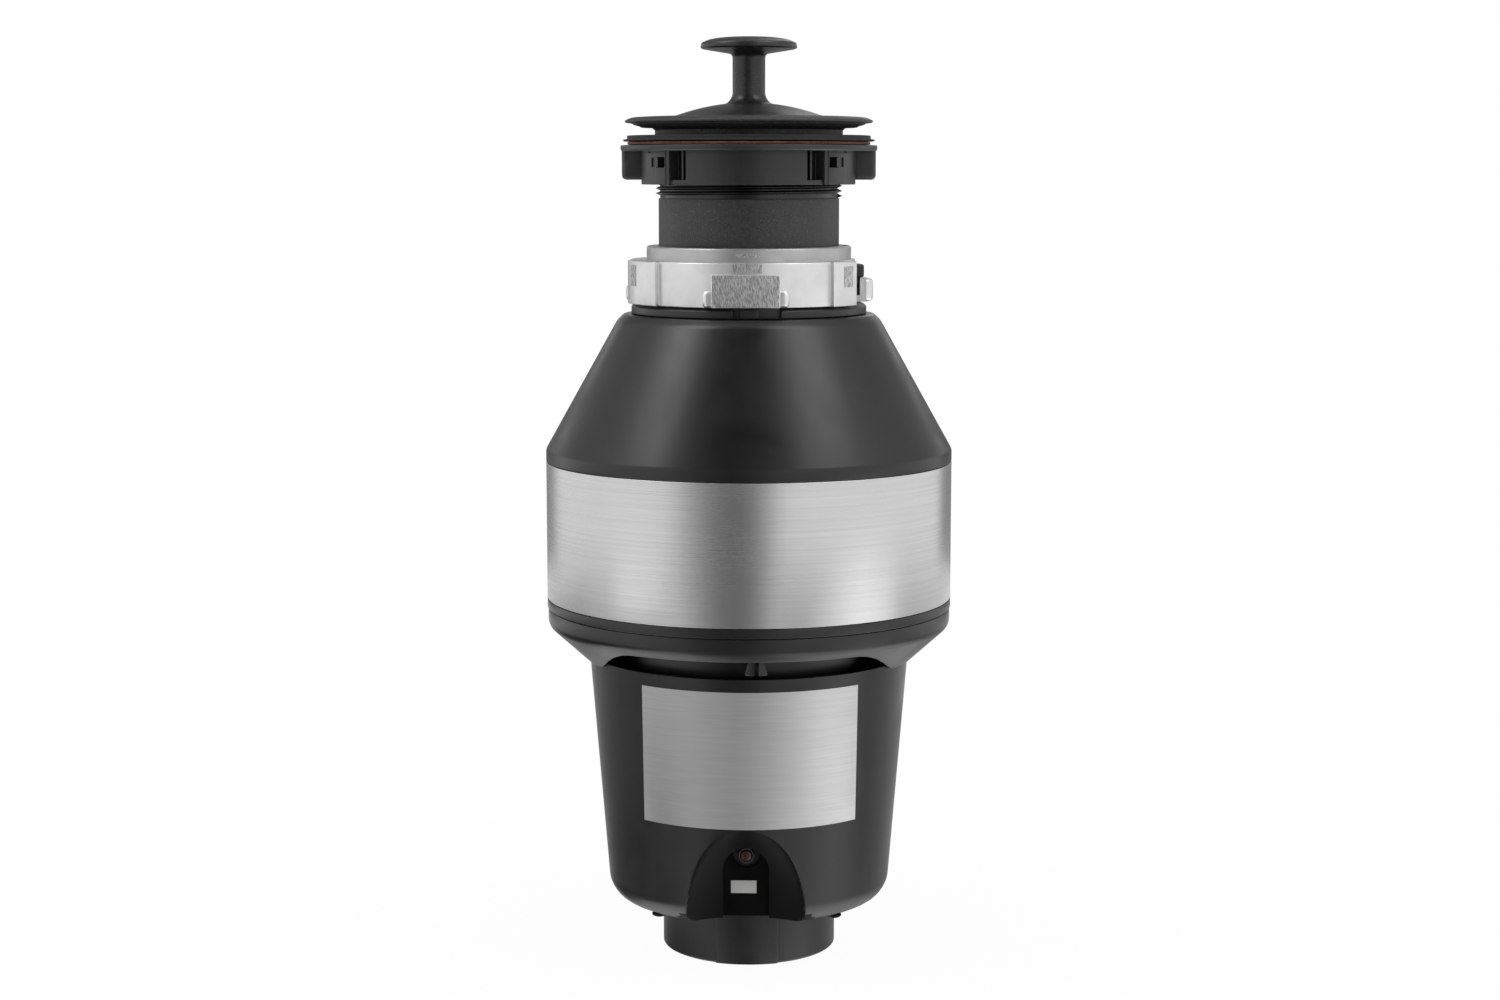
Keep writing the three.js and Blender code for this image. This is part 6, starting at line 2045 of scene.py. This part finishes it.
@dataclass
class Studio:
    """The floor, the backdrop, the lamps and the camera.

    Attributes:
        target_height: The height that the lamps face.
        distance: Distance of the lamps from the object.
        lens: Focal length of the camera.
        camera_distance: Level distance of the camera from the axis.
        camera_height: Its height above the floor.
        camera_azimuth: Its turn from the front, towards +X.
        camera_pitch: How far it looks down.
        camera_aside: How far it looks to the right of the axis.
        softboxes: The lamps.
        cards: The cards that reflections see.
        card_distance: Distance of the cards from the axis.
        ambient: How bright the surround is for matt surfaces.
        low_glow: How bright reflections are below the horizon.
        back_glow: How bright they are above it, straight behind the object and to its sides.
        floor_glow: How bright the floor's middle and its lit sides are in reflections.
    """

    target_height: float = 0.22
    distance: float = 2.4
    lens: float = 61.2
    camera_distance: float = 1.184
    camera_height: float = 0.366
    camera_azimuth: float = 1.5
    camera_pitch: float = 7.42
    camera_aside: float = 0.025
    softboxes: tuple[Softbox, ...] = (
        Softbox("left softbox", -73.0, 54.0, 0.9, 1.3, 3.3),
        Softbox("right softbox", 61.0, 57.0, 1.0, 1.4, 2.8),
    )
    cards: tuple[Card, ...] = (
        Card("dark card", (-43.0, 19.0), (-6.0, 2.6), (
            (0.0, 0.95), (0.2, 0.5), (0.37, 0.25), (0.54, 0.14), (0.72, 0.14), (0.87, 0.4), (1.0, 1.0),
        )),
        Card("high dark card", (-57.0, 39.0), (2.6, 15.0), (
            (0.0, 0.9), (0.12, 0.4), (0.3, 0.06), (0.75, 0.04), (0.9, 0.25), (1.0, 0.9),
        )),
        Card("left low card", (-152.0, -56.0), (-2.4, -1.0), (
            (0.0, 0.12), (0.2, 0.06), (0.8, 0.06), (1.0, 0.4),
        )),
        Card("left strip", (-82.0, -44.0), (-0.8, -0.34), (
            (0.0, 0.85), (0.25, 1.25), (0.75, 1.2), (1.0, 0.95),
        )),
        Card("right low card", (36.0, 92.0), (-2.2, -0.34), (
            (0.0, 0.6), (0.3, 1.1), (0.6, 1.5), (1.0, 1.0),
        )),
        Card("left dim card", (-150.0, -92.0), (-1.0, -0.54), ((0.0, 0.4), (0.8, 0.4), (1.0, 0.7))),
        Card("back low card", (136.0, 224.0), (-0.35, 0.62), ((0.0, 0.25), (1.0, 0.25))),
        Card("back high card", (136.0, 224.0), (0.95, 5.5), (
            (0.0, 0.25), (0.3, 0.5), (0.4, 1.6), (0.48, 0.06),
            (0.52, 0.06), (0.6, 1.6), (0.7, 0.5), (1.0, 0.25),
        )),
    )
    card_distance: float = 3.2
    ambient: float = 0.38
    low_glow: float = 0.45
    back_glow: Span = (0.4, 0.55)
    floor_glow: Span = (0.3, 2.1)

    def camera(self) -> None:
        """Places the camera and makes it the scene's."""
        data = bpy.data.cameras.new("camera")
        data.lens = self.lens
        data.sensor_width = 36.0
        data.clip_start, data.clip_end = 0.05, 60.0
        thing = placed("camera", data)
        thing.location = polar(self.camera_distance, self.camera_azimuth, self.camera_height)
        heading = self.camera_azimuth - self.camera_aside
        thing.rotation_euler = (math.radians(90 - self.camera_pitch), 0.0, math.radians(heading))
        bpy.context.scene.camera = thing

    def lamps(self) -> None:
        """Places the softboxes."""
        for box in self.softboxes:
            data = bpy.data.lights.new(box.name, "AREA")
            data.shape = "RECTANGLE"
            data.size, data.size_y = box.width, box.height
            data.energy = box.radiance * math.pi * box.width * box.height
            thing = placed(box.name, data)
            level = self.distance * math.cos(math.radians(box.elevation))
            rise = self.distance * math.sin(math.radians(box.elevation))
            thing.location = polar(level, box.azimuth, self.target_height + rise)
            aim = Vector((0, 0, self.target_height)) - thing.location
            thing.rotation_euler = aim.to_track_quat("-Z", "Y").to_euler()

    def world(self) -> None:
        """A white surround for the camera and reflections, and an even dimmer one for the rest."""
        world = bpy.data.worlds.new("surround")
        bpy.context.scene.world = world
        world.use_nodes = True
        world.node_tree.nodes.clear()
        graph = Graph(world.node_tree)
        path = graph.add("LightPath")
        seen = graph.maths("MAXIMUM", path.outputs["Is Camera Ray"], path.outputs["Is Transmission Ray"])
        reflected = graph.times(path.outputs["Is Glossy Ray"], self.glow(graph))
        plain = graph.times(path.outputs["Is Diffuse Ray"], self.ambient)
        strength = graph.maths("MAXIMUM", graph.maths("MAXIMUM", seen, reflected), plain)
        sky = graph.add("Background", {"Color": (1, 1, 1, 1), "Strength": strength})
        graph.add("OutputWorld", {"Surface": sky.outputs[0]})

    def glow(self, graph: Graph) -> Socket:
        """How bright the surround is in a reflection: sky, dim horizon and a floor lit from both sides.

        Args:
            graph: The world's graph.

        Returns:
            The brightness.
        """
        towards = graph.add("SeparateXYZ", {0: graph.add("TexCoord").outputs["Generated"]}).outputs
        across = graph.maths("ABSOLUTE", towards["X"])
        far = graph.span(across, 0.12, 0.5, *self.back_glow)
        behind = graph.between(graph.span(towards["Y"], -0.1, 0.5), 1.0, far)
        above = graph.between(graph.span(towards["Z"], 0.1, 0.3), 1.0, behind)
        level = graph.times(above, graph.span(towards["Z"], -0.34, -0.12, self.low_glow, 1.0))
        aside = graph.span(across, 0.1, 0.32, *self.floor_glow)
        lit_floor = graph.times(aside, graph.span(towards["Y"], 0.25, 0.5, 1.0, 0.5))
        return graph.between(graph.span(towards["Z"], -0.45, -0.6), level, lit_floor)

    def hang(self, card: Card) -> None:
        """Hangs a card, toned across its width.

        Args:
            card: The card.
        """
        bm = bmesh.new()
        low, high = card.azimuths
        edge = [bm.verts.new(polar(self.card_distance, low, height)) for height in card.heights]
        side = bm.edges.new(edge)
        bmesh.ops.spin(
            bm, geom=[*edge, side], cent=(0, 0, 0), axis=(0, 0, 1), dvec=(0, 0, 0),
            angle=math.radians(high - low), steps=24,
        )
        made, graph = blank_material(card.name)
        thing = placed(card.name, mesh_of(bm, card.name, made))
        for rays in ("camera", "diffuse", "transmission", "volume_scatter", "shadow"):
            setattr(thing, f"visible_{rays}", False)
        parts = graph.add("SeparateXYZ", {0: graph.place()}).outputs
        angle = graph.maths("ARCTAN2", parts["X"], graph.times(parts["Y"], -1.0))
        ends = {"From Min": math.radians(low), "From Max": math.radians(high)}
        share = graph.add("MapRange", {"Value": angle, **ends}).outputs[0]
        ramp = graph.add("ValToRGB", {"Fac": share})
        stops = ramp.color_ramp.elements
        for stop, (at, tone) in zip((stops[0], stops[1]), (card.tones[0], card.tones[-1])):
            stop.position, stop.color = at, (tone, tone, tone, 1)
        for at, tone in card.tones[1:-1]:
            stops.new(at).color = (tone, tone, tone, 1)
        glow = graph.add("Emission", {"Color": ramp.outputs[0], "Strength": 1.0})
        graph.add("OutputMaterial", {"Surface": glow.outputs[0]})

    def floor(self) -> None:
        """A wide pale floor that keeps a faint shadow and is clear from below."""
        bm = bmesh.new()
        bmesh.ops.create_circle(bm, cap_ends=True, segments=96, radius=25.0)
        bmesh.ops.translate(bm, verts=bm.verts, vec=(0, 0, -0.2 * MM))
        made, graph = blank_material("pale floor")
        thing = placed("floor", mesh_of(bm, "floor", made))
        thing.visible_glossy = False
        matt = graph.add("BsdfDiffuse", {"Color": (0.9, 0.9, 0.9, 1)})
        glow = graph.add("Emission", {"Color": (1, 1, 1, 1), "Strength": 1.0})
        away = graph.add("VectorMath", {0: graph.place()}, operation="LENGTH").outputs["Value"]
        whiteness = graph.span(away, 0.06, 0.5, 0.97, 1.0)
        share = graph.times(graph.add("LightPath").outputs["Is Camera Ray"], whiteness)
        mixed = graph.add("MixShader", {0: share, 1: matt.outputs[0], 2: glow.outputs[0]})
        below = graph.add("NewGeometry").outputs["Backfacing"]
        clear = graph.add("BsdfTransparent")
        sided = graph.add("MixShader", {0: below, 1: mixed.outputs[0], 2: clear.outputs[0]})
        graph.add("OutputMaterial", {"Surface": sided.outputs[0]})

    def build(self) -> None:
        """Sets the whole studio up."""
        bpy.context.scene.view_settings.view_transform = "Standard"
        self.world()
        self.floor()
        for card in self.cards:
            self.hang(card)
        self.lamps()
        self.camera()


def main() -> None:
    """Loads the frame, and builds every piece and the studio."""
    logging.basicConfig(level=logging.INFO, format="%(name)s: %(message)s")
    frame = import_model()
    assemblies: tuple[type[SubAssembly], ...] = (
        Stopper, SinkSleeve, WingedNut, QuickLock, Neck, Casing, MotorHousing, WiringBase,
    )
    for assembly in assemblies:
        for piece in assembly().pieces():
            piece.fit()
    InnerParts().dress(frame["nodes"])
    Studio().build()


if __name__ == "__main__":
    main()
